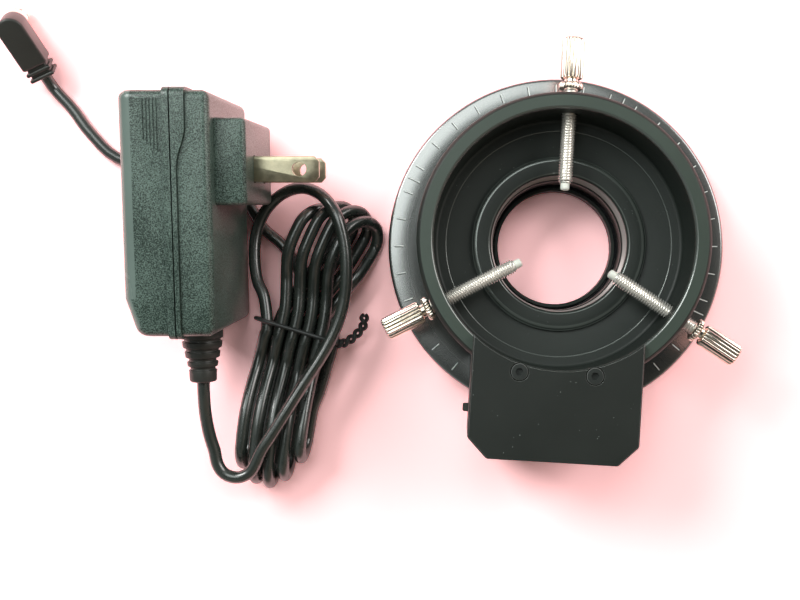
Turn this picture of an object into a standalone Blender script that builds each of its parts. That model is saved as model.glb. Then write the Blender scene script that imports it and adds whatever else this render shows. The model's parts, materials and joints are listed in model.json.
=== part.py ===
"""A polarized ring light for a stereo microscope, with its wall adapter and lead.

The ring light lies on the bench with its light face down. A collar on top takes
the microscope's head and grips it with three thumbscrews, and a graduated ring
turns the polarizing film under the lamps. The adapter lies beside it, leaning on
its own lead, which is tied up in a hank and ends in a right-angle plug.
Lengths are metres, +Z is up and the bench is at zero.
"""

import math

import bmesh
import bpy
import numpy as np
from mathutils import Matrix, Vector

# Places on the bench
LAMP_X = 0.0305
LAMP_Y = 0.0022
ADAPTER_X = -0.0757
ADAPTER_Y = -0.0237
ADAPTER_Z = 0.00025
ADAPTER_TURN = math.radians(3.4)

# Clearances
GAP = 0.0003
RUN_GAP = 0.0004
OVERRUN = 0.0010

# Graduated ring that turns the film
SCALE_RING_RADIUS = 0.0460
SCALE_RING_HEIGHT = 0.0090
SCALE_RING_CHAMFER = 0.0006
FILM_LIP_WIDTH = 0.0016
FILM_LIP_THICKNESS = 0.0010

# Polarizing film and the rings that hold it
FILM_THICKNESS = 0.0012
RETAINER_WIDTH = 0.0030
RETAINER_THICKNESS = 0.0012
RETAINER_SLOT_WIDTH = 0.0020
BEZEL_BORE_RADIUS = 0.0158
BEZEL_WALL = 0.0009
BEZEL_LIP = 0.0020

# Lamp housing
HOUSING_RADIUS = 0.0366
HOUSING_WALL = 0.0018
HOUSING_TOP = 0.0145
HOUSING_WEB = 0.0016
WINDOW_THICKNESS = 0.0020
WINDOW_INSET = 0.0010
WINDOW_LEDGE = 0.0012
SNAP_WIRE_RADIUS = 0.0005
SNAP_RING_OPENING = math.radians(14)

# Lamp board
BOARD_THICKNESS = 0.0016
LED_WIDTH = 0.0028
LED_HEIGHT = 0.0011
LED_SINK = 0.0002
INNER_LED_RADIUS = 0.0235
OUTER_LED_RADIUS = 0.0303
INNER_LED_COUNT = 18
OUTER_LED_COUNT = 24
BOARD_SCREW_CIRCLE = 0.0270
BOARD_SCREW_HEAD_RADIUS = 0.0017
BOARD_SCREW_HEAD_HEIGHT = 0.0008
BOARD_SCREW_RADIUS = 0.0010
BOARD_SCREW_COUNT = 3

# Collar that takes the microscope's head
COLLAR_RADIUS = 0.0373
COLLAR_BORE_RADIUS = 0.0330
COLLAR_TOP = 0.0330
COLLAR_FLOOR = 0.0022
COLLAR_CHAMFER = 0.0009
COLLAR_INNER_CHAMFER = 0.0003
COLLAR_FILLET = 0.0008

# Central tube with the viewing hole
VIEW_RADIUS = 0.0180
VIEW_STEP = 0.0006
VIEW_STEP_HEIGHT = 0.0110
TUBE_WALL = 0.0014
TUBE_FLANGE_RADIUS = 0.0232
TUBE_FLANGE_THICKNESS = 0.0012

# Thumbscrews
SCREW_HEIGHT = 0.0250
SCREW_RADIUS = 0.00195
SCREW_DISC_RADIUS = 0.0031
SCREW_DISC_THICKNESS = 0.0020
SCREW_NECK_RADIUS = 0.0018
SCREW_NECK_LENGTH = 0.0008
SCREW_HEAD_RADIUS = 0.0030
SCREW_HEAD_LENGTH = 0.0107
SCREW_INSIDE_LENGTH = 0.0240
KNURL_DEPTH = 0.0003
KNURL_COUNT = 20
TIP_RADIUS = 0.0015
TIP_LENGTH = 0.0020
TIP_STEM_RADIUS = 0.0008
TIP_STEM_LENGTH = 0.0025
SCREWS = {
    "top": (math.radians(90), 0.0016),
    "left": (math.radians(210), 0.0000),
    "right": (math.radians(330), 0.0030),
}

# Control box
BOX_HALF_WIDTH = 0.0215
BOX_REACH = 0.0560
BOX_CORNER = 0.0050
BOX_WALL = 0.0016
BOX_LIFT = 0.0012
COVER_THICKNESS = 0.0016
COVER_BEVEL = 0.0003
COVER_SCREW_X = 0.00945
COVER_SCREW_HEAD_RADIUS = 0.0021
COVER_SCREW_HEAD_HEIGHT = 0.0012
COVER_SCREW_RADIUS = 0.0010
COVER_SCREW_LENGTH = 0.0060
SOCKET_RADIUS = 0.0010
SOCKET_DEPTH = 0.0008
BOX_SCREW_ANGLE = math.radians(24)
BOX_SCREW_Z = 0.0292
BOX_SCREW_HEAD_RADIUS = 0.0021
BOX_SCREW_HEAD_HEIGHT = 0.0014
BOX_SCREW_RADIUS = 0.0012
BOX_SCREW_GRIP = 0.0028

# Electronics in the control box
CARD_HALF_LENGTH = 0.0180
CARD_WIDTH = 0.0113
CARD_INSET = 0.0030
CARD_THICKNESS = 0.0016
POST_HEIGHT = 0.0024
POST_RADIUS = 0.0016
POST_X = 0.0150
DIMMER_WHEEL_RADIUS = 0.0085
DIMMER_WHEEL_THICKNESS = 0.0036
DIMMER_SHOW = 0.0011
DIMMER_KNURL_DEPTH = 0.0004
DIMMER_KNURL_COUNT = 28
DIMMER_LIFT = 0.0006
POT_SIDE = 0.0100
POT_HEIGHT = 0.0050
POT_SHAFT_RADIUS = 0.0015
SWITCH_Y = 0.0437
SWITCH_DEPTH = 0.0046
SWITCH_LENGTH = 0.0080
SWITCH_HEIGHT = 0.0045
KNOB_LENGTH = 0.0022
KNOB_HEIGHT = 0.0018
KNOB_SHOW = 0.0015
KNOB_TRAVEL = 0.0020
KNOB_SINK = 0.0016
JACK_LENGTH = 0.0104
JACK_WIDTH = 0.0090
JACK_HEIGHT = 0.0105
JACK_NOSE_RADIUS = 0.0041
JACK_BORE_RADIUS = 0.0030
JACK_PIN_RADIUS = 0.0010
JACK_DEPTH = 0.0095
LEAD_RADIUS = 0.0006
LEAD_REACH = 0.0440

# Adapter, lying on its side
ADAPTER_DEPTH = 0.0220
ADAPTER_LENGTH = 0.0588
ADAPTER_HEIGHT = 0.0430
ADAPTER_WALL = 0.0020
ADAPTER_EDGE = 0.0020
ADAPTER_TAPER = 0.0016
ADAPTER_TAPER_LENGTH = 0.0090
SEAM = 0.0118
RIDGE = 0.0004
RIDGE_WIDTH = 0.0018
BLOCK_DEPTH = 0.0076
BLOCK_WIDTH = 0.0210
BLOCK_HEIGHT = 0.0340
BLOCK_EDGE = 0.0012
BLOCK_Y = 0.0422
BLADE_Y = 0.0407
BLADE_LENGTH = 0.0163
BLADE_WIDTH = 0.00635
BLADE_THICKNESS = 0.0015
BLADE_SPACING = 0.0127
BLADE_CHAMFER = 0.0012
BLADE_HOLE_RADIUS = 0.0016
BLADE_HOLE_PLACE = 0.0116
POWER_CARD_THICKNESS = 0.0016
POWER_CARD_LENGTH = 0.0500
POWER_CARD_HEIGHT = 0.0340
POWER_CARD_STANDOFF = 0.0024
STANDOFF_RADIUS = 0.0020
STANDOFF_INSET = 0.0045
TRANSFORMER_LENGTH = 0.0180
TRANSFORMER_HEIGHT = 0.0170
TRANSFORMER_DEPTH = 0.0110
TRANSFORMER_Y = 0.0200
CAPACITOR_RADIUS = 0.0050
CAPACITOR_LENGTH = 0.0160
CAPACITOR_Y = 0.0440

# Strain relief on the adapter
RELIEF_X = 0.0136
RELIEF_NECK_RADIUS = 0.0035
RELIEF_FLANGE_RADIUS = 0.0048
RELIEF_FLANGE = 0.0015
RELIEF_BASE_RADIUS = 0.0055
RELIEF_BASE_LENGTH = 0.0030
RELIEF_TIP_RADIUS = 0.0033
RELIEF_RIB_COUNT = 6
RELIEF_RIB_PITCH = 0.0019
RELIEF_RIB_DEPTH = 0.0007

# Lead, hank and tie
CORD_RADIUS = 0.00165
CORD_SPACING = 0.0045
CROSSING_PLACE = 0.0330
HANK_X = -0.0401
HANK_Y = -0.0270
HANK_TURN = math.radians(76.5)
HANK_HALF_LENGTH = 0.0403
HANK_BOW = 0.0046
HANK_PITCH = 0.00395
HANK_TOP_PITCH = 0.0052
HANK_BOTTOM_PITCH = 0.0044
HANK_LAYER = 0.0039
HANK_FOLD = 0.0053
HANK_SLANT = 0.0026
HANK_NECK = 0.0030
HANK_TOP_SPREAD = 0.0220
HANK_BOTTOM_SPREAD = 0.0300
HANK_LIFT = 0.00395
HANK_RISE = (-0.0140, -0.0010)
HANK_FALL = (0.0200, 0.0320)
HANK_TOP_END = 0.0386
HANK_TOP_FAN = 0.0010
HANK_TOP_MIDDLE = 2.25
HANK_BOTTOM_END = -0.0406
HANK_BOTTOM_FAN = 0.0015
HANK_BOTTOM_MIDDLE = 1.75
HANK_MIDDLE = 2
HANK_START = -0.02
HANK_END = 4.36
HANK_FOLD_SHARE = 0.06
HANK_FOLD_POINTS = 6
HANK_RUN_POINTS = 8
TIE_PLACE = 0.0022
TIE_RADIUS = 0.0006
TIE_TAIL = 0.0150
TIE_TWISTS = 3
TIE_TWIST_POINTS = 8
TIE_TWIST_RADIUS = 0.00095

# The way the lead goes over the hank and round in one wide loop, in bench places
LEAD_WAY = [
    (-0.0606, -0.0483, 0.0180),
    (-0.0595, -0.0539, 0.0168),
    (-0.0581, -0.0582, 0.0160),
    (-0.0571, -0.0620, 0.0156),
    (-0.0551, -0.0645, 0.0154),
    (-0.0519, -0.0653, 0.0154),
    (-0.0493, -0.0644, 0.0155),
    (-0.0475, -0.0625, 0.0157),
    (-0.0454, -0.0574, 0.0161),
    (-0.0427, -0.0527, 0.0162),
    (-0.0393, -0.0464, 0.0161),
    (-0.0353, -0.0389, 0.0157),
    (-0.0310, -0.0312, 0.0151),
    (-0.0277, -0.0237, 0.0150),
    (-0.0259, -0.0161, 0.0153),
    (-0.0257, -0.0080, 0.0160),
    (-0.0268, -0.0001, 0.0163),
    (-0.0295, 0.0070, 0.0162),
    (-0.0341, 0.0120, 0.0136),
    (-0.0401, 0.0139, 0.0100),
    (-0.0460, 0.0120, 0.0070),
    (-0.0504, 0.0072, 0.0057),
    (-0.0524, 0.0009, 0.0057),
    (-0.0524, -0.0055, 0.0063),
    (-0.0510, -0.0119, 0.0075),
    (-0.0486, -0.0166, 0.0086),
]

# The way the tail goes: places along, across and above the hank, then bench places
TAIL_UNDER = [
    (-0.0130, 0.0101, 0.0017),
    (-0.0065, 0.0104, 0.0017),
    (0.0000, 0.0104, 0.0017),
    (0.0050, 0.0089, 0.0017),
    (0.0095, 0.0050, 0.0017),
    (0.0145, -0.0010, 0.0017),
    (0.0190, -0.0070, 0.0017),
    (0.0235, -0.0128, 0.0017),
]
TAIL_AWAY = [
    (-0.0514, 0.0030, 0.0017),
    (-0.0564, 0.0096, 0.0017),
    (-0.0650, 0.0142, 0.0017),
    (-0.0789, 0.0170, 0.0017),
    (-0.0934, 0.0202, 0.0017),
    (-0.1014, 0.0267, 0.0017),
    (-0.1067, 0.0330, 0.00175),
    (-0.1109, 0.0371, 0.00195),
]

# The way the tie goes: across and above the hank, then along it too
TIE_LOOP = [
    (0.0108, 0.0099),
    (0.0100, 0.0117),
    (0.0079, 0.01215),
    (0.00395, 0.01215),
    (0.0000, 0.01215),
    (-0.00395, 0.01215),
    (-0.0082, 0.01215),
    (-0.0103, 0.0116),
    (-0.0111, 0.0095),
    (-0.0103, 0.0068),
    (-0.0090, 0.0040),
    (-0.0065, 0.0028),
    (0.0000, 0.0028),
    (0.0054, 0.0028),
    (0.0075, 0.00335),
    (0.0093, 0.0053),
    (0.0103, 0.0069),
]
TIE_SPINE = [
    (0.0018, 0.0119, 0.0084),
    (0.0025, 0.0138, 0.0080),
    (0.0050, 0.0159, 0.0076),
    (0.0084, 0.0172, 0.0072),
    (0.0116, 0.0165, 0.0070),
]

# Right-angle plug
PLUG_PLACE = (-0.1200, 0.0521, 0.0128)
PLUG_BARREL_WAY = (-0.229, 0.517, -0.824)
PLUG_LEAD_WAY = (0.408, -0.718, -0.564)
PLUG_HEAD_RADIUS = 0.0036
PLUG_DEPTH = 0.0075
PLUG_ARM_LENGTH = 0.0109
PLUG_EDGE = 0.0005
PLUG_RIB_COUNT = 2
PLUG_RIB_SIDE = 0.0071
PLUG_RIB_THICKNESS = 0.0010
PLUG_RIB_GROOVE = 0.0008
PLUG_RIB_DEPTH = 0.0007
BARREL_RADIUS = 0.00275
BARREL_LENGTH = 0.0095
BARREL_GRIP = 0.0022
BARREL_BORE_RADIUS = 0.00105
BARREL_WALL = 0.0003
BARREL_STEP = 0.0004
FIT = 0.0002

# Lays an outline's two directions along Y and Z, and its depth along X
SIDEWAYS = Matrix(((0, 0, 1, 0), (1, 0, 0, 0), (0, 1, 0, 0), (0, 0, 0, 1)))

# Roundness of the turned pieces
RING_STEPS = 64
SMALL_STEPS = 24
MERGE = 0.00001

# Sizes worked out from the ones above
RING_BORE_RADIUS = HOUSING_RADIUS + RUN_GAP
FILM_RADIUS = RING_BORE_RADIUS - GAP
RETAINER_BOTTOM = GAP
FILM_BOTTOM = RETAINER_BOTTOM + RETAINER_THICKNESS + GAP
FILM_TOP = FILM_BOTTOM + FILM_THICKNESS
LIP_BOTTOM = FILM_TOP + GAP
LIP_TOP = LIP_BOTTOM + FILM_LIP_THICKNESS
HOUSING_BOTTOM = LIP_TOP + RUN_GAP
SHOULDER = SCALE_RING_HEIGHT + RUN_GAP
WINDOW_BOTTOM = HOUSING_BOTTOM + WINDOW_INSET
WINDOW_TOP = WINDOW_BOTTOM + WINDOW_THICKNESS
CHAMBER_TOP = HOUSING_TOP - HOUSING_WEB
LED_BOARD_TOP = CHAMBER_TOP - GAP
LED_BOARD_BOTTOM = LED_BOARD_TOP - BOARD_THICKNESS
COLLAR_BOTTOM = HOUSING_TOP + GAP
FLOOR_TOP = COLLAR_BOTTOM + COLLAR_FLOOR
TUBE_RADIUS = VIEW_RADIUS + TUBE_WALL
TUBE_HOLE_RADIUS = TUBE_RADIUS + GAP
WINDOW_SEAT_RADIUS = HOUSING_RADIUS - HOUSING_WALL
LEDGE_RADIUS = WINDOW_SEAT_RADIUS - WINDOW_LEDGE
LED_BOARD_RADIUS = LEDGE_RADIUS - GAP
SNAP_RING_RADIUS = HOUSING_RADIUS + RUN_GAP / 2
SNAP_RING_Z = (LIP_TOP + SCALE_RING_HEIGHT) / 2
SNAP_GROOVE = SNAP_WIRE_RADIUS + GAP
BOX_BOTTOM = SCALE_RING_HEIGHT + BOX_LIFT
BOX_ARC_RADIUS = COLLAR_RADIUS + GAP
COVER_BOTTOM = COLLAR_TOP + GAP
COVER_TOP = COVER_BOTTOM + COVER_THICKNESS
COVER_SCREW_CIRCLE = (COLLAR_RADIUS + COLLAR_BORE_RADIUS) / 2
CARD_BOTTOM = BOX_BOTTOM + BOX_WALL + POST_HEIGHT + GAP
CARD_TOP = CARD_BOTTOM + CARD_THICKNESS
CARD_FRONT = BOX_REACH - BOX_WALL - CARD_INSET
CARD_BACK = CARD_FRONT - CARD_WIDTH
DIMMER_Y = BOX_REACH + DIMMER_SHOW - DIMMER_WHEEL_RADIUS
POT_BOTTOM = CARD_TOP + GAP
DIMMER_BOTTOM = POT_BOTTOM + POT_HEIGHT + DIMMER_LIFT
SWITCH_INNER = BOX_HALF_WIDTH - BOX_WALL - GAP
SWITCH_Z = CARD_TOP + GAP + SWITCH_HEIGHT / 2
JACK_Z = CARD_TOP + GAP + JACK_HEIGHT / 2
SCREW_START = COLLAR_RADIUS + GAP
SCREW_NECK_START = SCREW_START + SCREW_DISC_THICKNESS
SCREW_HEAD_START = SCREW_NECK_START + SCREW_NECK_LENGTH
SCREW_HEAD_END = SCREW_HEAD_START + SCREW_HEAD_LENGTH
SCREW_TIP_START = SCREW_START - SCREW_INSIDE_LENGTH
ADAPTER_LEAN = math.asin((2 * CORD_RADIUS + GAP) / (CROSSING_PLACE - CORD_RADIUS))
MID_HEIGHT = ADAPTER_HEIGHT / 2
BLADE_ROOT = ADAPTER_DEPTH + BLOCK_DEPTH
POWER_CARD_FACE = ADAPTER_DEPTH - ADAPTER_WALL - POWER_CARD_STANDOFF
RELIEF_LENGTH = RELIEF_BASE_LENGTH + RELIEF_RIB_COUNT * RELIEF_RIB_PITCH
PLUG_RIB_PITCH = PLUG_RIB_THICKNESS + PLUG_RIB_GROOVE
PLUG_LENGTH = PLUG_ARM_LENGTH + PLUG_RIB_COUNT * PLUG_RIB_PITCH


def clear_scene():
    for obj in list(bpy.data.objects):
        bpy.data.objects.remove(obj, do_unlink=True)


def new_collection(name):
    collection = bpy.data.collections.new(name)
    bpy.context.scene.collection.children.link(collection)
    return collection


def new_material(name, colour, roughness, metallic=0.0, alpha=1.0):
    material = bpy.data.materials.new(name)
    material.use_nodes = True
    shader = material.node_tree.nodes["Principled BSDF"]
    shader.inputs["Base Color"].default_value = (*colour, 1.0)
    shader.inputs["Roughness"].default_value = roughness
    shader.inputs["Metallic"].default_value = metallic
    shader.inputs["Alpha"].default_value = alpha
    return material


def new_empty(name, location, rotation=(0, 0, 0), parent=None):
    empty = bpy.data.objects.new(name, None)
    PARTS.objects.link(empty)
    empty.location = location
    empty.rotation_euler = rotation
    empty.parent = parent
    return empty


def new_part(name, mesh, material, parent, location=(0, 0, 0), rotation=(0, 0, 0)):
    """One sub-part: an object in the parts collection, with its own material."""
    part = bpy.data.objects.new(name, mesh)
    PARTS.objects.link(part)
    part.parent = parent
    part.location = location
    part.rotation_euler = rotation
    mesh.materials.clear()
    mesh.materials.append(material)
    return part


def new_cutter(name, mesh, parent, location=(0, 0, 0), rotation=(0, 0, 0)):
    """A helper solid for a Boolean, left out of renders."""
    cutter = bpy.data.objects.new(name, mesh)
    CUTTERS.objects.link(cutter)
    cutter.parent = parent
    cutter.location = location
    cutter.rotation_euler = rotation
    cutter.hide_render = True
    cutter.display_type = "WIRE"
    return cutter


def boolean(part, other, operation="DIFFERENCE"):
    modifier = part.modifiers.new(other.name, "BOOLEAN")
    modifier.operation = operation
    modifier.solver = "EXACT"
    modifier.object = other


def bevel(part, width, segments=2):
    modifier = part.modifiers.new("Edges", "BEVEL")
    modifier.width = width
    modifier.segments = segments
    modifier.limit_method = "ANGLE"
    modifier.angle_limit = math.radians(40)


def box_mesh(name, low, high):
    low, high = Vector(low), Vector(high)
    mesh = bpy.data.meshes.new(name)
    shape = bmesh.new()
    middle = Matrix.Translation((low + high) / 2)
    bmesh.ops.create_cube(shape, size=1, matrix=middle @ Matrix.Diagonal((*(high - low), 1)))
    shape.to_mesh(mesh)
    shape.free()
    return mesh


def rod_mesh(name, radius, start, end, segments=SMALL_STEPS):
    """A cylinder between two points."""
    start, end = Vector(start), Vector(end)
    mesh = bpy.data.meshes.new(name)
    shape = bmesh.new()
    turn = (end - start).to_track_quat("Z", "Y").to_matrix().to_4x4()
    bmesh.ops.create_cone(
        shape,
        cap_ends=True,
        segments=segments,
        radius1=radius,
        radius2=radius,
        depth=(end - start).length,
        matrix=Matrix.Translation((start + end) / 2) @ turn,
    )
    shape.to_mesh(mesh)
    mesh.shade_smooth()
    mesh.set_sharp_from_angle(angle=math.radians(40))
    shape.free()
    return mesh


def profile_mesh(name, profile, closed):
    mesh = bpy.data.meshes.new(name)
    points = [(radius, 0, height) for radius, height in profile]
    edges = [(i, i + 1) for i in range(len(points) - 1)]
    if closed:
        edges.append((len(points) - 1, 0))
    mesh.from_pydata(points, edges, [])
    return mesh


def turn_profile(part, steps=RING_STEPS):
    """Sweeps the part's profile round its own Z axis."""
    screw = part.modifiers.new("Turned", "SCREW")
    screw.axis = "Z"
    screw.steps = steps
    screw.render_steps = steps
    screw.use_merge_vertices = True
    screw.merge_threshold = MERGE
    screw.use_smooth_shade = True


def turned_ring(name, profile, material, parent, steps=RING_STEPS, **place):
    """A ring from a closed profile that runs down its outer side first."""
    part = new_part(name, profile_mesh(name, profile, True), material, parent, **place)
    turn_profile(part, steps)
    return part


def turned_solid(name, profile, material, parent, steps=SMALL_STEPS, **place):
    """A solid from an open profile that starts and ends on the axis."""
    part = new_part(name, profile_mesh(name, profile, False), material, parent, **place)
    turn_profile(part, steps)
    return part


def turned_cutter(name, profile, parent, closed=False, steps=SMALL_STEPS, **place):
    cutter = new_cutter(name, profile_mesh(name, profile, closed), parent, **place)
    turn_profile(cutter, steps)
    return cutter


def outline_mesh(name, points, bottom, thickness):
    """A flat outline in X and Y, filled and given its thickness upwards."""
    curve = bpy.data.curves.new(name, "CURVE")
    curve.dimensions = "2D"
    curve.fill_mode = "BOTH"
    curve.extrude = thickness / 2
    spline = curve.splines.new("POLY")
    spline.points.add(len(points) - 1)
    for place, (x, y) in zip(spline.points, points):
        place.co = (x, y, 0, 1)
    spline.use_cyclic_u = True
    return curve_as_mesh(curve, Matrix.Translation((0, 0, bottom + thickness / 2)))


def curve_as_mesh(curve, matrix):
    guide = bpy.data.objects.new(curve.name, curve)
    bpy.context.scene.collection.objects.link(guide)
    bpy.context.view_layer.update()
    graph = bpy.context.evaluated_depsgraph_get()
    mesh = bpy.data.meshes.new_from_object(guide.evaluated_get(graph))
    shape = bmesh.new()
    shape.from_mesh(mesh)
    bmesh.ops.remove_doubles(shape, verts=shape.verts, dist=MERGE)
    bmesh.ops.recalc_face_normals(shape, faces=shape.faces)
    bmesh.ops.transform(shape, matrix=matrix, verts=shape.verts)
    shape.to_mesh(mesh)
    shape.free()
    bpy.data.objects.remove(guide, do_unlink=True)
    return mesh


def tube(name, points, radius, material, resolution=2):
    """A cord along points in bench coordinates, with flat ends."""
    curve = bpy.data.curves.new(name, "CURVE")
    curve.dimensions = "3D"
    curve.bevel_depth = radius
    curve.bevel_resolution = resolution
    curve.use_fill_caps = True
    spline = curve.splines.new("POLY")
    spline.points.add(len(points) - 1)
    for place, point in zip(spline.points, points):
        place.co = (*point, 1)
    spline.use_smooth = True
    cord = bpy.data.objects.new(name, curve)
    PARTS.objects.link(cord)
    curve.materials.append(material)
    return cord


def arc(radius, start, end, count):
    angles = np.linspace(start, end, count)
    return [(radius * math.cos(a), radius * math.sin(a)) for a in angles]


def rounded_outline(low, high, radius):
    """A rectangle with round corners, four points to a corner."""
    outline = []
    for i, (x, y) in enumerate(
        (
            (high[0] - radius, high[1] - radius),
            (low[0] + radius, high[1] - radius),
            (low[0] + radius, low[1] + radius),
            (high[0] - radius, low[1] + radius),
        )
    ):
        corner = arc(radius, i * math.pi / 2, (i + 1) * math.pi / 2, 4)
        outline += [(x + dx, y + dy) for dx, dy in corner]
    return outline


def knurled_outline(radius, depth, count):
    """A circle with straight teeth, two points to a tooth."""
    outline = []
    for i in range(2 * count):
        angle = math.pi * i / count
        reach = radius - depth * (i % 2)
        outline.append((reach * math.cos(angle), reach * math.sin(angle)))
    return outline


def smooth_route(route, spacing):
    """Points at even spacing along a smooth curve through the route's points."""
    route = [Vector(point) for point in route]
    ends = [2 * route[0] - route[1], *route, 2 * route[-1] - route[-2]]
    fine = []
    steps = 16
    for before, start, end, after in zip(ends, ends[1:], ends[2:], ends[3:]):
        for t in np.linspace(0, 1, steps, endpoint=False).tolist():
            middle = (end - before) / 2
            leaving = (after - start) / 2
            fine.append(
                (2 * t**3 - 3 * t**2 + 1) * start
                + (t**3 - 2 * t**2 + t) * middle
                + (3 * t**2 - 2 * t**3) * end
                + (t**3 - t**2) * leaving
            )
    fine.append(route[-1])
    lengths = np.cumsum([0] + [(b - a).length for a, b in zip(fine, fine[1:])])
    places = np.linspace(0, lengths[-1], max(round(lengths[-1] / spacing), 1) + 1)
    columns = [np.interp(places, lengths, [point[i] for point in fine]) for i in range(3)]
    return [Vector(point) for point in zip(*columns)]


def make_materials():
    return {
        "anodised": new_material("black_anodised", (0.028, 0.030, 0.029), 0.42, 0.6),
        "scale": new_material("scale_anodised", (0.055, 0.062, 0.060), 0.38, 0.7),
        "film": new_material("polarizing_film", (0.05, 0.05, 0.055), 0.10, 0.0, 0.6),
        "window": new_material("diffuser", (0.85, 0.86, 0.84), 0.35, 0.0, 0.7),
        "board": new_material("circuit_board", (0.10, 0.22, 0.13), 0.45),
        "nickel": new_material("nickel_plate", (0.72, 0.68, 0.62), 0.22, 1.0),
        "steel": new_material("spring_steel", (0.45, 0.45, 0.44), 0.30, 1.0),
        "black_screw": new_material("black_screw", (0.04, 0.04, 0.04), 0.35, 0.8),
        "nylon": new_material("nylon", (0.86, 0.85, 0.80), 0.45),
        "black_plastic": new_material("black_plastic", (0.022, 0.026, 0.024), 0.50),
        "housing": new_material("adapter_plastic", (0.030, 0.042, 0.038), 0.62),
        "copper": new_material("winding_tape", (0.55, 0.45, 0.10), 0.50),
        "can": new_material("capacitor_can", (0.06, 0.08, 0.16), 0.35, 0.3),
        "cord": new_material("cord_jacket", (0.020, 0.030, 0.026), 0.38),
        "tie": new_material("tie_coating", (0.012, 0.013, 0.013), 0.45),
    }


def make_scale_ring(looks, lamp):
    """The graduated ring: it rides on the housing and carries the film under a lip."""
    lip_radius = FILM_RADIUS - FILM_LIP_WIDTH
    groove_radius = SNAP_RING_RADIUS + SNAP_GROOVE
    chamfer = SCALE_RING_CHAMFER
    profile = [
        (SCALE_RING_RADIUS - chamfer, SCALE_RING_HEIGHT),
        (SCALE_RING_RADIUS, SCALE_RING_HEIGHT - chamfer),
        (SCALE_RING_RADIUS, chamfer),
        (SCALE_RING_RADIUS - chamfer, 0),
        (RING_BORE_RADIUS, 0),
        (RING_BORE_RADIUS, LIP_BOTTOM),
        (lip_radius, LIP_BOTTOM),
        (lip_radius, LIP_TOP),
        (RING_BORE_RADIUS, LIP_TOP),
        (RING_BORE_RADIUS, SNAP_RING_Z - SNAP_GROOVE),
        (groove_radius, SNAP_RING_Z - SNAP_GROOVE),
        (groove_radius, SNAP_RING_Z + SNAP_GROOVE),
        (RING_BORE_RADIUS, SNAP_RING_Z + SNAP_GROOVE),
        (RING_BORE_RADIUS, SCALE_RING_HEIGHT),
    ]
    turned_ring("scale_ring", profile, looks["scale"], lamp)


def make_film(looks, lamp):
    bezel_outer = BEZEL_BORE_RADIUS + BEZEL_WALL
    turned_ring(
        "polarizer_film",
        [
            (FILM_RADIUS, FILM_TOP),
            (FILM_RADIUS, FILM_BOTTOM),
            (bezel_outer + GAP, FILM_BOTTOM),
            (bezel_outer + GAP, FILM_TOP),
        ],
        looks["film"],
        lamp,
    )
    retainer_inner = FILM_RADIUS - RETAINER_WIDTH
    retainer_top = RETAINER_BOTTOM + RETAINER_THICKNESS
    retainer = turned_ring(
        "film_retainer",
        [
            (FILM_RADIUS, retainer_top),
            (FILM_RADIUS, RETAINER_BOTTOM),
            (retainer_inner, RETAINER_BOTTOM),
            (retainer_inner, retainer_top),
        ],
        looks["anodised"],
        lamp,
    )
    slot = new_cutter(
        "retainer_slots",
        box_mesh(
            "retainer_slots",
            (-FILM_RADIUS - OVERRUN, -RETAINER_SLOT_WIDTH / 2, 0),
            (FILM_RADIUS + OVERRUN, RETAINER_SLOT_WIDTH / 2, RETAINER_BOTTOM + RETAINER_THICKNESS / 2),
        ),
        lamp,
    )
    boolean(retainer, slot)
    turned_ring(
        "film_bezel",
        [
            (bezel_outer, LIP_TOP),
            (bezel_outer, FILM_BOTTOM - GAP),
            (bezel_outer + BEZEL_LIP, FILM_BOTTOM - GAP),
            (bezel_outer + BEZEL_LIP, RETAINER_BOTTOM),
            (BEZEL_BORE_RADIUS, RETAINER_BOTTOM),
            (BEZEL_BORE_RADIUS, LIP_TOP),
        ],
        looks["anodised"],
        lamp,
        steps=48,
    )


def make_snap_ring(looks, lamp):
    """A sprung wire in both grooves, which keeps the graduated ring on the housing."""
    start = math.pi / 2 + SNAP_RING_OPENING / 2
    end = start + 2 * math.pi - SNAP_RING_OPENING
    points = [
        (LAMP_X + x, LAMP_Y + y, SNAP_RING_Z) for x, y in arc(SNAP_RING_RADIUS, start, end, 60)
    ]
    tube("snap_ring", points, SNAP_WIRE_RADIUS, looks["steel"], resolution=1)


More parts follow.
